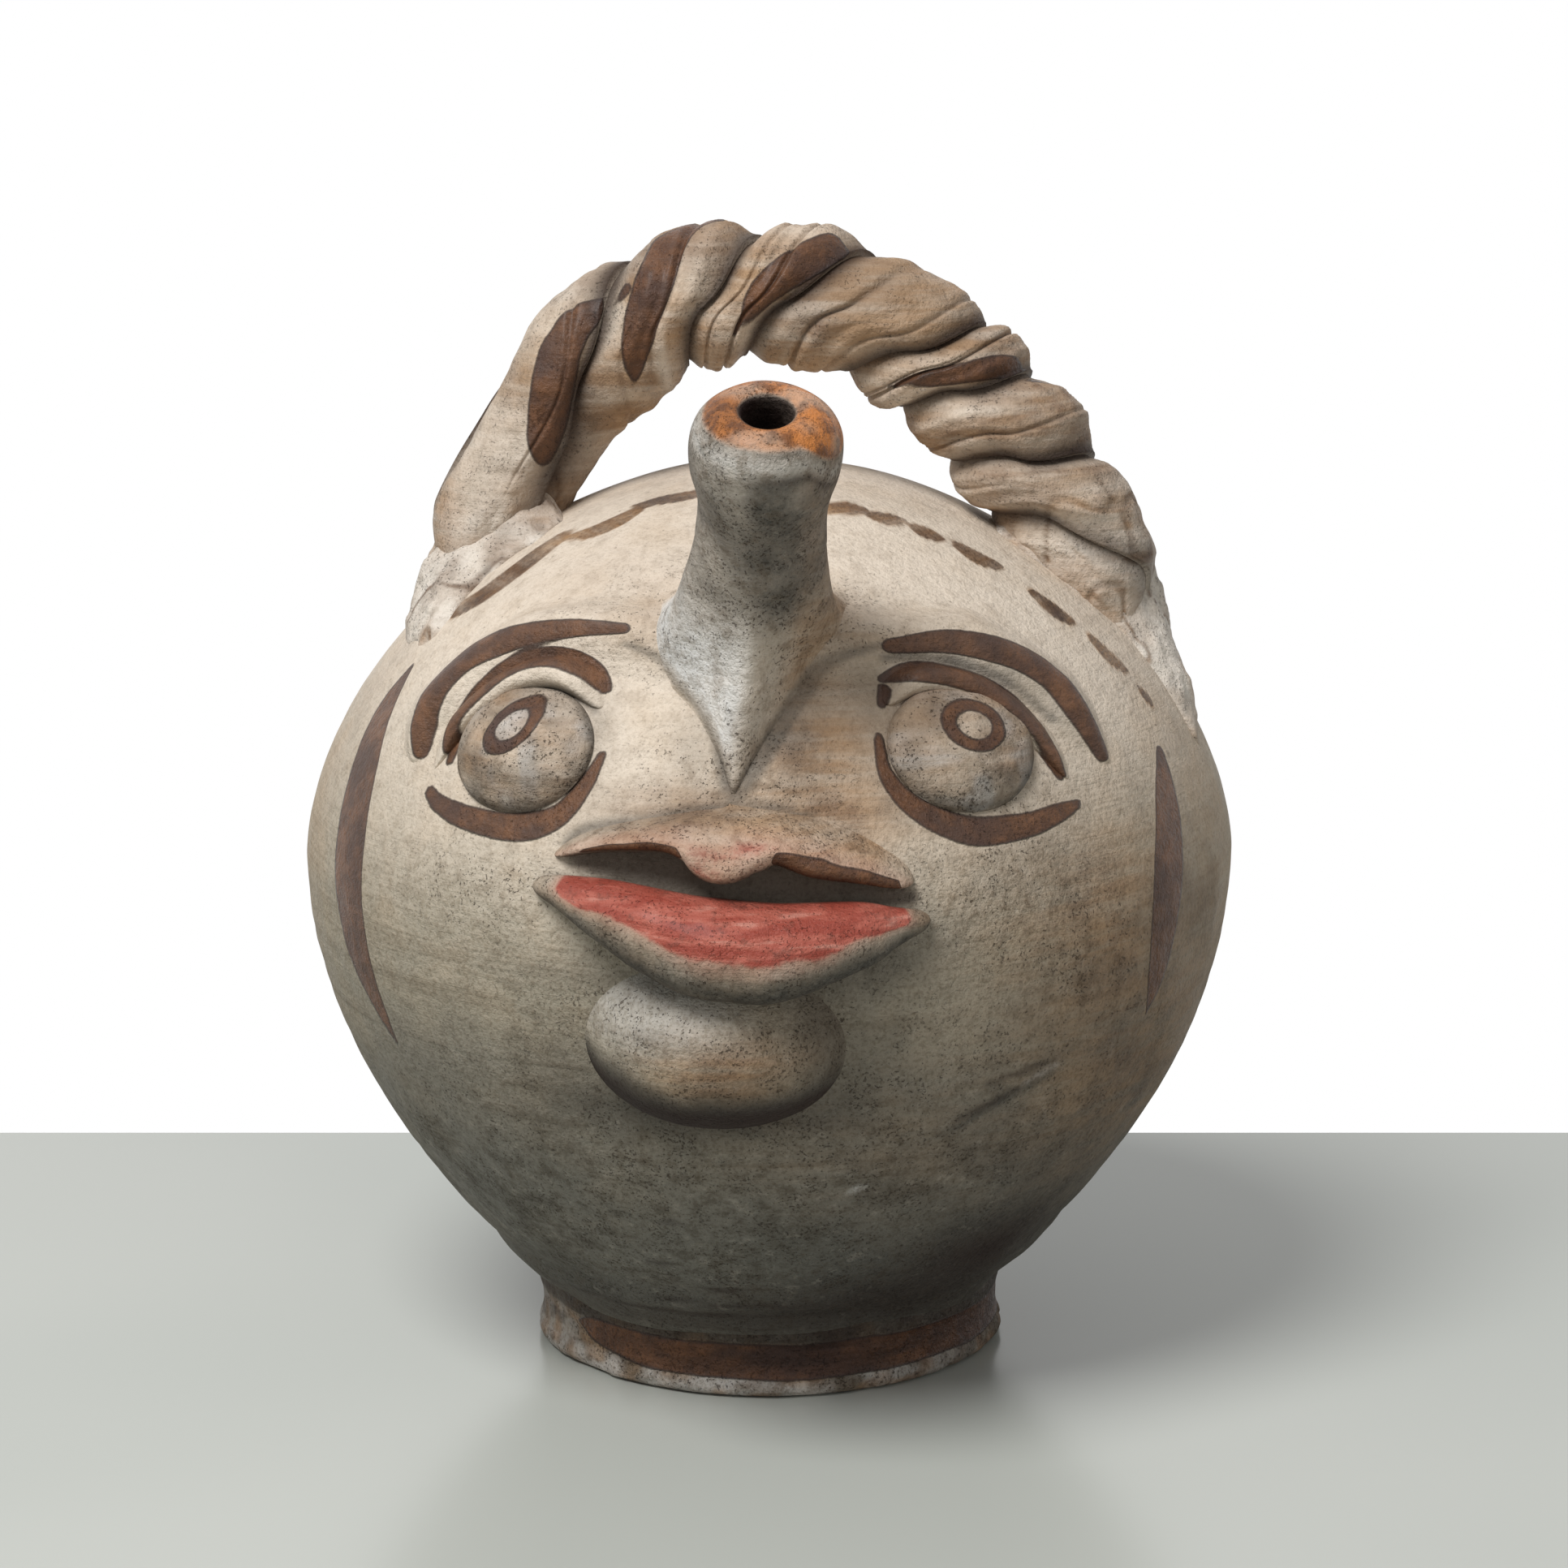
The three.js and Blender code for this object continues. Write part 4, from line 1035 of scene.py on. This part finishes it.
# Eyes: pressed balls under brow ridges and eyelids
# Balls: (turn, rise). Ridges: [turn, rise, half width, relief]
EYEBALLS = {"left": (-31.2, 38.2), "right": (30.7, 39.4)}
EYE_ACROSS = 17
EYE_UP = 14.5
EYE_OUT = 7.4
EYE_RINGS = 44
BROW_SECTION = swell(2.0, 3.0, reach=2.3)
BROWS = {
    "left": [[-49.5, 31, 3, 2], [-49.5, 43, 5.5, 5], [-39.5, 55, 6, 6.5], [-24, 59.5, 5.5, 5.5],
             [-12, 60, 6, 5], [-3, 59, 7, 5]],
    "right": [[5, 59, 7, 5], [14, 60, 6, 5], [25, 58, 5.5, 5.5], [37.5, 55, 6, 6.5], [48.5, 46.5, 5.5, 5],
              [53.5, 31.5, 3, 2]],
}
# A fold that drops steeply on the eye's side and feathers out towards the brow
LID_SECTION = drawn_section([
    [-1.0, -0.05], [-1.04, 0.42], [-0.92, 0.84], [-0.5, 1.0], [0.1, 0.86], [0.7, 0.5], [1.3, 0.14],
    [1.8, -0.03],
])
EYELIDS = {
    "left": [[-45, 31.0, 1.8, 1.2], [-43.4, 41.0, 3.0, 3.6], [-38.2, 49.0, 3.6, 5.2], [-31.5, 52.4, 4.0, 5.8],
             [-25.5, 51.6, 3.4, 4.6], [-21, 48.0, 2.2, 1.6]],
    "right": [[21, 48.6, 2.2, 1.6], [25.5, 51.8, 3.4, 4.6], [32, 51.2, 4.0, 5.8], [38, 47.0, 3.6, 5.2],
              [42.5, 40.2, 3.0, 3.6], [45.3, 30.5, 1.8, 1.2]],
}


def eyeball(side):
    place = face_axes(*EYEBALLS[side])
    point, normal, _, over = place
    tilt = np.linspace(0.02, np.pi - 0.02, EYE_RINGS)
    cap = np.cos(tilt)
    out = np.where(cap > 0, np.abs(cap) ** 1.15 * EYE_OUT, cap * LUTE_DEPTH)
    rings = oval_rings(place, EYE_ACROSS, EYE_UP, np.sin(tilt), circle(4.0)) + normal * out[:, None, None]
    rings = bedded(rings)
    uneven = (0.5 * lumps(rings, 6, 41) + 0.3 * lumps(rings, 2.5, 44)) * (cap > 0)[:, None]
    piece = lofted(f"{side}_eyeball_ball", rings + normal * uneven[..., None])
    points = places_of(piece)
    foot = smooth(3.5, 0.3, (points - point) @ normal)
    below = np.clip(-((points - point) @ over) / EYE_UP, 0, 1)
    keep(
        piece, f"{side}_eyeball", "cream_slip",
        stroke=iris_depth(points),
        pits=np.clip(0.45 + 0.55 * below, 0, 1),
        # Painted shade: greyer towards the bottom and in the crease round its foot
        soot=np.clip(0.24 + 0.34 * below + 0.5 * foot + 0.3 * lumps(points, 4, 42), 0, 0.8),
        warm=np.clip(0.62 + 0.4 * lumps(points, 7, 43), 0, 0.9),
        white=0.8 * smooth(0.0, 0.5, lumps(points, 4.5, 45)),
    )


def painted_ridge(node, name, rows, section, **options):
    piece, _, _ = ridge_piece(name, rows, section, **options)
    keep(piece, node, "brown_paint", **face_layers(places_of(piece)))


# Nose: the wedge that runs from the spout's flare to the lip
NOSE_TOP_SHARE = 0.64
NOSE_HALF_ANGLE = 1.32
NOSE_THICKNESS = 4
NOSE_SUNK = 2.5
NOSE_UNDER_ROWS = 12


def nose_ridge():
    top, nose, apart = nose_form(np.linspace(0, NOSE_TOP_SHARE, NOSE_ROWS))
    front = np.flatnonzero(apart < NOSE_HALF_ANGLE)
    top, nose = top[:, front], nose[:, front]
    _, away = from_axis(top)
    top = top - unit(away) * (NOSE_LAP * (1 - nose))[..., None]
    _, away = from_axis(top[-1])
    inner = top[-1] - unit(away) * NOSE_THICKNESS
    skin, normal = on_skin(top[0])
    sunk = skin - normal * (FEATHER + NOSE_SUNK)
    down = np.linspace(0, 1, NOSE_UNDER_ROWS)[:, None, None]
    rings = np.concatenate([top, inner * (1 - down) + sunk * down]).transpose(1, 0, 2)
    shown = np.concatenate([nose, np.zeros((NOSE_UNDER_ROWS, len(front)))]).T
    rings = rings + unit(rings - spout_foot) * (0.3 * lumps(rings, 9, 26) * shown)[..., None]
    piece = lofted("nose_wedge", rings)
    keep(piece, "nose_ridge", "greyed_slip", **nose_tone(places_of(piece)))


# Mouth: two thick lips laid on as coils and pulled forward. Rows: [turn, rise, half width, relief]
UPPER_LIP_SECTION = drawn_section([
    [-1.02, -0.03], [-1.06, 0.28], [-1.16, 0.58], [-1.2, 0.8], [-1.07, 0.94], [-0.78, 0.98], [-0.36, 0.86],
    [0.14, 0.63], [0.57, 0.38], [0.95, 0.12], [1.25, -0.03],
])
LOWER_LIP_SECTION = drawn_section([
    [-1.4, -0.03], [-1.22, 0.1], [-1.06, 0.35], [-0.9, 0.66], [-0.64, 0.9], [-0.28, 1.01], [0.15, 1.02],
    [0.6, 0.93], [0.95, 0.74], [1.18, 0.48], [1.26, 0.22], [1.2, -0.03],
])
UPPER_LIP_ROWS = [
    [-22.5, 18.6, 1.2, 2], [-18, 21.4, 2.2, 5], [-13.5, 23.0, 3.0, 8], [-8, 24.0, 3.9, 10.5],
    [-4.6, 23.6, 5.2, 12], [-1.3, 22.3, 7.4, 12.8], [2, 22.9, 6.2, 12.4], [5, 23.2, 5.2, 11.8],
    [9.5, 21.4, 5.6, 10], [14, 19.2, 4.6, 7.5], [18, 16.5, 3.2, 4.5], [20.8, 14.2, 1.5, 2],
]
LOWER_LIP_ROWS = [
    [-24.5, 12.2, 1.4, 2.5], [-20, 10.8, 3.2, 6], [-14, 7.8, 5.5, 11], [-4.5, 2.4, 8, 16],
    [0.5, 1.2, 8.3, 16.6], [5, 1.2, 8, 16], [14, 4.3, 5.5, 11], [18.5, 5.6, 3.2, 6], [22.5, 6.6, 1.4, 2.5],
]


def lip(node, rows, section, unevenness):
    """A lip, its rings, how far along and over it their points lie, and the face's layers there."""
    piece, rings, share = ridge_piece(f"{node}_roll", rows, section, unevenness=unevenness, end_share=0.05)
    columns = np.linspace(0, 1, len(section))
    over = np.concatenate([columns, np.zeros(len(RIDGE_UNDERSIDE))]) + 0 * share[:, None]
    layers = {layer: with_ends(value) for layer, value in face_layers(rings.reshape(-1, 3)).items()}
    return piece, rings, share[:, None], over, layers


def upper_lip():
    piece, rings, along, over, layers = lip("upper_lip", UPPER_LIP_ROWS, UPPER_LIP_SECTION, unevenness=0.5)
    streaky = 0.2 * lumps(squeezed(rings, 0.3, 1), 2.4, 51)
    washed = 0.3 + (0.16 + streaky) * bell(along, 0.57, 0.22)
    left = smooth(0.05, 0.1, along) * smooth(0.4, 0.33, along)
    right = smooth(0.58, 0.64, along) * smooth(0.97, 0.93, along)
    edge_width = 0.1 + 0.08 * smooth(0.6, 0.75, along) + 0.03 * lumps(rings, 6, 52)
    edge_line = 24 * (edge_width - np.abs(over - 0.38)) - 6 * (1 - left - right)
    slit = smooth(0.40, 0.30, over + 0.05 * lumps(rings, 8, 47))
    keep(
        piece, "upper_lip", "pink_paint",
        pink=with_ends(smooth(0.3, 0.38, over) * smooth(0.8, 0.52, over) * washed),
        stroke=np.maximum(layers["stroke"], with_ends(edge_line, NO_STROKE)),
        soot=layers["soot"] * 0.4,
        warm=np.clip(layers["warm"] + with_ends(0.5 + 0.35 * lumps(rings, 7, 49)), 0, 0.85),
        # Painted shade: the lip's underside over the mouth's gap is painted dark
        dark=with_ends(slit * 0.6),
        pits=np.maximum(layers["pits"], 0.7),
    )


def lower_lip():
    piece, rings, along, over, layers = lip("lower_lip", LOWER_LIP_ROWS, LOWER_LIP_SECTION, unevenness=0.4)
    inside = smooth(0.07, 0.16, along) * smooth(0.95, 0.86, along)
    inner = smooth(0.44, 0.62, over + 0.03 * lumps(rings, 9, 48)) * smooth(0.93, 0.84, over)
    slit = 0.7 * smooth(0.82, 0.92, over)
    keep(
        piece, "lower_lip", "pink_paint",
        pink=with_ends(inner * inside),
        stroke=layers["stroke"],
        # Painted shade: greyer and darker on the lip's underside, and dark where it meets the mouth's gap
        soot=np.clip(with_ends(0.32 + 0.68 * smooth(0.56, 0.3, over)) + layers["soot"] * 0.2, 0, 0.95),
        warm=np.clip(layers["warm"] + with_ends(0.35 + 0.4 * lumps(rings, 8, 50)), 0, 0.8),
        dark=with_ends(np.maximum(slit, 0.5 * smooth(0.42, 0.18, over))),
        pits=np.maximum(layers["pits"], 0.6),
    )


# Chin: a pressed ball, blended into the body round its edge
CHIN_TURN = -2.6
CHIN_RISE = -20.5
CHIN_ACROSS = 29.0
CHIN_UP = 20.0
CHIN_OUT = 15.0
CHIN_TOP_RINGS = 44
CHIN_UNDER_RINGS = 8


def chin_boss():
    place = face_axes(CHIN_TURN, CHIN_RISE)
    point, _, right, over = place
    reach = np.concatenate([np.linspace(0.02, 1, CHIN_TOP_RINGS), np.linspace(0.98, 0.02, CHIN_UNDER_RINGS)])
    top = np.arange(len(reach)) < CHIN_TOP_RINGS
    skin, normal = on_skin(oval_rings(place, CHIN_ACROSS, CHIN_UP, reach, circle(3.0)))
    dome = (1 - reach**2.5) ** 1.2 * CHIN_OUT
    height = np.where(top, dome, -LUTE_DEPTH * np.sqrt(1 - reach)) - FEATHER
    rings = skin + normal * height[:, None, None]
    shown = (top * smooth(1, 0.8, reach))[:, None]
    uneven = (0.7 * lumps(rings, 16, 51) + 0.25 * lumps(rings, 5, 52)) * shown
    piece = lofted("chin_ball", rings + normal * uneven[..., None])
    points = places_of(piece)
    beside = (points - point) @ right
    above = (points - point) @ over
    below = -above / CHIN_UP
    under = smooth(0.1, 0.5, below + 0.25 * smooth(0, 20, -beside))
    shaded = 0.95 * smooth(0.12, 0.6, below + 0.2 * smooth(6, 24, -beside))
    face_soot = 0.5 * face_layers(points)["soot"]
    keep(
        piece, "chin_boss", "greyed_slip",
        # Painted shade: sootier and darker underneath, on the lower left and at the right rim. Painted
        # highlight: whiter on the upper left
        soot=np.clip(np.maximum(face_soot, 0.1 + 0.85 * under + 0.25 * lumps(points, 8, 53)), 0, 0.95),
        warm=0.9 * bell(beside, 4, 17) * bell(above, 1.0, 8),
        white=0.45 * smooth(-0.1, 0.6, -below) * smooth(14, -4, beside),
        dark=np.maximum(shaded, 0.45 * smooth(15, 25, beside)),
        pits=0.5,
    )


# Handle: two strands of one twisted rope over the crown, and the pads that they are smeared on with
ROPE_RADIUS = 15.8
GRIP_GAP = 21.5
LEFT_ROOT_HEIGHT = CROWN_HEIGHT - 22.5
RIGHT_ROOT_HEIGHT = CROWN_HEIGHT - 33.0
LEFT_BEND = 2.8
RIGHT_BEND = 2.15
ROPE_APEX = np.array([1.0, 0.0, CROWN_HEIGHT + GRIP_GAP + ROPE_RADIUS])
ROPE_BURY = 9.0
ROPE_TAPER_LEFT = 0.12
ROPE_TAPER_RIGHT = 0.45
ROPE_TAPER_SHARE = 0.16
# The share of the rope at each end that is pressed down onto the body
ROPE_SMEAR_SHARE = 0.075
# How far the creases lie over to the rope's own direction
ROPE_LEAN = 0.32
ROPE_STATIONS = 320
# Points over a strand's round, and how sharp the crease between the strands is
STRAND_ARC = 60
STRAND_EDGE = 6
# Where each strand starts round the rope and how much of it it takes, in half turns: one is fatter
STRAND_SHARES = {"a": (0.0, 1.177), "b": (1.177, 0.823)}
# The rope's twist: [share of its length, half turns so far]
ROPE_TWIST = [
    [0.0, 0.53], [0.08, 0.53], [0.147, 0.53], [0.212, 0.58], [0.268, 0.83], [0.341, 1.3], [0.407, 2.0],
    [0.488, 2.85], [0.555, 3.42], [0.622, 4.0], [0.68, 4.8], [0.77, 6.0], [0.86, 6.9], [1.0, 7.5],
]
# Creases pressed along each strand: swing, pace, place round it, width, depth, where it starts and ends
ROPE_FOLDS = {
    "a": [
        (0.4, 13, 0.15, 0.10, 1.0, 0.28, 0.62), (0.3, 9, -0.6, 0.08, 0.7, 0.4, 0.82),
        (0.25, 17, 0.75, 0.07, 0.6, 0.05, 0.4),
    ],
    "b": [
        (0.4, 11, -0.1, 0.10, 1.0, 0.36, 0.80), (0.3, 8, 0.65, 0.08, 0.7, 0.3, 0.7),
        (0.2, 15, -0.7, 0.07, 0.6, 0.1, 0.45),
    ],
}
FOLD_FADE = 0.08
# Spots where the rope is browned: [x, y, z]
ROPE_BROWNED = [
    [20.4, -13.3, 244.9], [30.0, -11.0, 243.5], [8.0, -15.5, 238.5], [44.0, -12.0, 232.0],
    [66.0, -8.0, 208.0], [-38.0, -14.0, 222.0],
]
BROWNED_REACH = 9
# Brush strokes on the rope: [x, y, z, half width] along each
ROPE_STROKES = [
    [[-31.9, -12.2, 242.7, 2.4], [-40.9, -12.7, 235.9, 4.0], [-44.8, -13.7, 230.0, 4.8],
     [-46.5, -15.0, 223.0, 5.0], [-48.0, -15.5, 213.1, 4.9], [-48.5, -15.2, 207.3, 3.8],
     [-47.6, -13.7, 200.5, 0.8]],
    [[-13.8, 1.5, 255.0, 4.0], [-20.8, -6.0, 251.8, 4.6], [-24.5, -12.9, 244.5, 4.6],
     [-27.2, -15.2, 235.8, 4.2], [-28.8, -14.4, 227.6, 3.0], [-29.2, -12.2, 221.9, 0.8]],
    [[15.2, -6.6, 252.1, 4.0], [7.5, -12.5, 248.3, 4.2], [-0.4, -15.1, 242.2, 3.4],
     [-6.8, -13.6, 232.7, 0.8]],
    [[27.0, -11.5, 221.1, 0.6], [33.6, -14.6, 223.2, 2.0], [40.2, -15.2, 224.2, 2.4],
     [47.8, -13.6, 225.5, 2.8], [55.3, -9.2, 225.3, 3.0], [64.4, 1.5, 221.6, 1.6]],
]


def rope_line():
    """The rope's middle, its way along, twist, thickness and share of the length, at each station."""
    sides = []
    for side, foot, bend in ((-1, LEFT_ROOT_HEIGHT, LEFT_BEND), (1, RIGHT_ROOT_HEIGHT, RIGHT_BEND)):
        share = np.linspace(0, 1, 9)
        end = np.array([side * float(skin_radius(foot)), 0.0, foot])
        shares = np.stack([share, share, share**bend], -1)
        run = ROPE_APEX + (end - ROPE_APEX) * shares
        sides.append(np.vstack([run, run[-1] + unit(run[-1] - run[-2]) * ROPE_BURY]))
    fine = eased(np.vstack([sides[0][::-1], sides[1][1:]]), 2000)
    lengths = lengths_along(fine)
    share = np.linspace(0, 1, ROPE_STATIONS)
    middle = points_at(fine, lengths, share * lengths[-1])
    along = unit(np.gradient(middle, axis=0))
    at, half_turns = eased(ROPE_TWIST, 400).T
    twist = np.pi * np.interp(share, at, half_turns)
    pressed = np.maximum(1 - np.minimum(share, 1 - share) / ROPE_TAPER_SHARE, 0)
    taper = np.where(share < 0.5, ROPE_TAPER_LEFT, ROPE_TAPER_RIGHT)
    return middle, along, twist, 1 - taper * pressed**2, share


def pressed_on(points, share):
    """Presses the ends of the rope down onto the body's skin."""
    proud, normal = proud_of_skin(points)
    pressed = smooth(ROPE_SMEAR_SHARE, 0, np.minimum(share, 1 - share))[:, None]
    return points - normal * (np.maximum(proud + FEATHER, 0) * pressed)[..., None]


def clay_cracks(points):
    """Where the smeared clay has cracked."""
    return smooth(0.09, 0.02, np.abs(lumps(squeezed(points, 1, 0.5), 9, 73)))


def strand_folds(letter, share, across):
    """How deep the creases are that fingers pressed along a strand."""
    folded = np.zeros((len(share), len(across)))
    for swing, pace, place, width, depth, first, last in ROPE_FOLDS[letter]:
        fold = place + swing * np.sin(pace * share)
        near = bell((across - 0.5) * np.pi, fold[:, None], width)
        shown = smooth(first, first + FOLD_FADE, share) * smooth(last, last - FOLD_FADE, share)
        folded = np.maximum(folded, depth * near * shown[:, None])
    return folded


def strand_tones(rings, share, flutes, crease, folded, cracks, pressed):
    share = share[:, None]
    apart = (np.linalg.norm(rings - np.array(spot), axis=-1) for spot in ROPE_BROWNED)
    browned = sum(bell(distance, 0, BROWNED_REACH) for distance in apart)
    warm = 0.56 + 0.3 * bell(share, 0.56, 0.14) + 0.45 * lumps(rings, 12, 63) + 0.3 * lumps(flutes, 0.8, 68)
    ends_white = 0.12 * smooth(0.3, 0.1, share) + 0.3 * smooth(0.8, 0.9, share)
    flute_soot = 0.2 * np.maximum(lumps(flutes, 0.5, 70), 0)
    return {
        "warm": warm + 0.5 * browned + 0.6 * cracks,
        "white": ends_white + 0.05 + 0.3 * np.maximum(lumps(rings, 14, 69), 0),
        # Painted shade: sootier and darker in the crease between the strands and in the pressed creases; the
        # browned spots and cracks are real
        "soot": 0.1 * lumps(rings, 9, 64) + flute_soot + 0.3 * crease**2,
        "dark": 0.8 * crease**3 * (1 - 0.7 * pressed) + 0.35 * folded**2 + 0.22 * browned + 0.3 * cracks,
    }


def strand(letter):
    start, span = STRAND_SHARES[letter]
    middle, along, twist, thick, share = rope_line()
    front = np.array([0.0, -1.0, 0.0])
    outward = unit(np.cross(front, along))
    across = np.linspace(0, 1, STRAND_ARC)
    edge = np.cos(np.pi * across)
    crease = np.abs(edge) ** STRAND_EDGE
    pressed = np.maximum(smooth(0.8, 0.92, share), smooth(0.17, 0.06, share))[:, None]
    reach = ROPE_RADIUS * (1.02 - (0.22 - 0.12 * pressed) * crease + 0.05 * edge)
    angle = twist[:, None] + np.pi * (start + span * across)
    angle = angle - ROPE_LEAN * np.sin(2 * angle)
    arm = front * np.cos(angle)[..., None] + outward[:, None] * np.sin(angle)[..., None]
    rings = middle[:, None] + arm * (thick[:, None] * reach)[..., None]
    flutes = np.stack(np.broadcast_arrays(share[:, None] * 16, across * 6 * span, start * 5), -1)
    folded = strand_folds(letter, share, across)
    smeared = np.maximum(smooth(0.2, 0.1, share), smooth(0.8, 0.88, share))[:, None]
    cracks = smeared * clay_cracks(rings)
    rough = 0.8 * lumps(rings, 15, 61) + 0.45 * lumps(rings, 6, 62) + 0.25 * lumps(rings, 2.8, 65)
    rough = rough + 0.9 * lumps(flutes, 1, 66) + 0.22 * lumps(flutes, 0.4, 67)
    rough = rough * (1 + 0.5 * smeared) - 0.6 * cracks
    curved = np.sin(np.pi * across) ** 0.5
    rings = pressed_on(rings + arm * (rough * curved - 1.3 * folded)[..., None], share)
    tones = strand_tones(rings, share, flutes, crease, folded, cracks, pressed)
    spokes = np.array([0.75, 0.5, 0.25])[:, None]
    core = pressed_on(middle[:, None], share)
    heart = core + 0.2 * arm[:, STRAND_ARC // 2, None]
    inner = [core + (rings[:, -1:] - core) * spokes, heart, core + (rings[:, :1] - core) * spokes[::-1]]
    rings = np.concatenate([bedded(rings), *inner], 1)
    hidden = ((0, 0), (0, rings.shape[1] - STRAND_ARC))
    runs = [eased(rows, 60) for rows in ROPE_STROKES]
    brushed = depth_in(rings.reshape(-1, 3), [(run[:, :3], run[:, 3]) for run in runs])
    keep(
        lofted(f"handle_coil_{letter}", rings), f"handle_strand_{letter}", "handle_clay",
        stroke=with_ends(brushed, NO_STROKE), pits=0.25,
        **{layer: with_ends(np.pad(np.clip(tone, 0, 0.9), hidden)) for layer, tone in tones.items()},
    )


# Rows: [turn, rise, half width, relief]
HANDLE_ROOTS = {
    "left_handle_root": [
        [-93, 76, 14, 17], [-90, 70, 18, 15.5], [-85, 64, 18, 10.5], [-78, 59, 14, 6], [-71, 55.5, 8, 3],
        [-65, 53.5, 2.5, 0.6],
    ],
    "right_handle_root": [
        [100, 74, 15, 18], [97, 66, 19, 17.5], [95, 58, 19, 14], [92, 50, 16, 8.5], [88, 43, 11, 4.5],
        [84, 35, 6, 2], [81.5, 27, 2, 0.5],
    ],
}
ROOT_SECTION = swell(2.0, 1.4, reach=1.15)


def handle_root(node):
    piece, _, _ = ridge_piece(f"{node}_smear", HANDLE_ROOTS[node], ROOT_SECTION, drips=1.3, end_share=0.05)
    points = places_of(piece)
    cracks = clay_cracks(points)
    warm = np.clip(0.2 + 0.7 * lumps(squeezed(points, 1, 0.35), 5, 71), 0, 0.8)
    keep(
        piece, node, "handle_clay",
        white=0.4,
        warm=np.maximum(warm, 0.8 * cracks),
        soot=np.clip(0.7 * lumps(squeezed(points, 1, 0.3), 4, 72) - 0.3, 0, 0.6),
        dark=0.3 * cracks,
        pits=0.3,
    )


body_shell()
foot_disc()
spout()
for side in EYEBALLS:
    eyeball(side)
for side, rows in BROWS.items():
    painted_ridge(f"{side}_brow", f"{side}_brow_ridge", rows, BROW_SECTION, end_share=0.18, feather=0.1)
for side, rows in EYELIDS.items():
    painted_ridge(f"{side}_upper_eyelid", f"{side}_eyelid_fold", rows, LID_SECTION, end_share=0.22)
nose_ridge()
upper_lip()
lower_lip()
chin_boss()
for letter in STRAND_SHARES:
    strand(letter)
for node in HANDLE_ROOTS:
    handle_root(node)


# Stage, in metres: a plain pale table top in front of white
TABLE_HALF_WIDTH = 3
TABLE_FRONT = -2.2
TABLE_BACK = 0.156
TABLE_TURN = math.radians(4)
TABLE_TONES = srgb(190, 194, 187), srgb(197, 200, 193)
WHITE = (1, 1, 1, 1)
ROOM_LIGHT = 0.24
JUG_MIDDLE = (0, 0, 0.13)
# Lamps: place, size across, power
LAMPS = {"window": ((-0.5, -0.85, 1.5), 0.8, 25.5), "side": ((0.9, -1.2, 0.6), 0.9, 1.6)}
CAMERA_PLACE = (0.0767, -1.0973, 0.371)
CAMERA_TARGET = (0, 0, 0.1285)
CAMERA_SENSOR = 36
CAMERA_LENS = 113.8
CAMERA_SHIFT = 0.0093
CAMERA_REACH = 20


def table():
    f = Finish(bpy.data.materials.new("table_top"))
    tone = f.mix(f.ramp(f.noise(3.0, 2.0, 0.55), 0.4, 0.6), *TABLE_TONES)
    mesh = bpy.data.meshes.new("table_top")
    corners = [
        (-TABLE_HALF_WIDTH, TABLE_FRONT, 0), (TABLE_HALF_WIDTH, TABLE_FRONT, 0),
        (TABLE_HALF_WIDTH, TABLE_BACK, 0), (-TABLE_HALF_WIDTH, TABLE_BACK, 0),
    ]
    mesh.from_pydata(corners, [], [(0, 1, 2, 3)])
    mesh.materials.append(f.close({"Base Color": tone, "Roughness": 0.22, "Specular IOR Level": 0.35}))
    top = bpy.data.objects.new("table_top", mesh)
    top.rotation_euler = (0, 0, TABLE_TURN)
    bpy.context.scene.collection.objects.link(top)


def room():
    """Soft light from all round, in front of a white background."""
    f = Finish(bpy.data.worlds.new("white_room"))
    camera_ray, glossy_ray, through_ray = (
        f.node("ShaderNodeLightPath", out=f"Is {kind} Ray") for kind in ("Camera", "Glossy", "Transmission")
    )
    lit = f.node("ShaderNodeBackground", {}, {"Color": WHITE, "Strength": ROOM_LIGHT})
    seen = f.node("ShaderNodeBackground", {}, {"Color": WHITE, "Strength": 1.0})
    shown = camera_ray.most(glossy_ray).most(through_ray)
    both = f.node("ShaderNodeMixShader", {}, {0: shown, 1: lit, 2: seen})
    f.node("ShaderNodeOutputWorld", {}, {"Surface": both})
    bpy.context.scene.world = f.owner


def stood_up(name, data, place, target):
    """A lamp or a camera, set at its place and turned to what it looks at."""
    stand = bpy.data.objects.new(name, data)
    stand.location = place
    stand.rotation_euler = (Vector(target) - Vector(place)).to_track_quat("-Z", "Y").to_euler()
    bpy.context.scene.collection.objects.link(stand)
    return stand


def lamp(name, place, size, power):
    data = bpy.data.lights.new(name, "AREA")
    data.shape = "DISK"
    data.size = size
    data.energy = power
    stood_up(name, data, place, JUG_MIDDLE)


def camera():
    data = bpy.data.cameras.new("camera")
    data.sensor_width = CAMERA_SENSOR
    data.lens = CAMERA_LENS
    data.shift_x = CAMERA_SHIFT
    data.clip_end = CAMERA_REACH
    bpy.context.scene.camera = stood_up("camera", data, CAMERA_PLACE, CAMERA_TARGET)


table()
room()
camera()
for name, settings in LAMPS.items():
    lamp(name, *settings)
bpy.context.scene.view_settings.view_transform = "Standard"
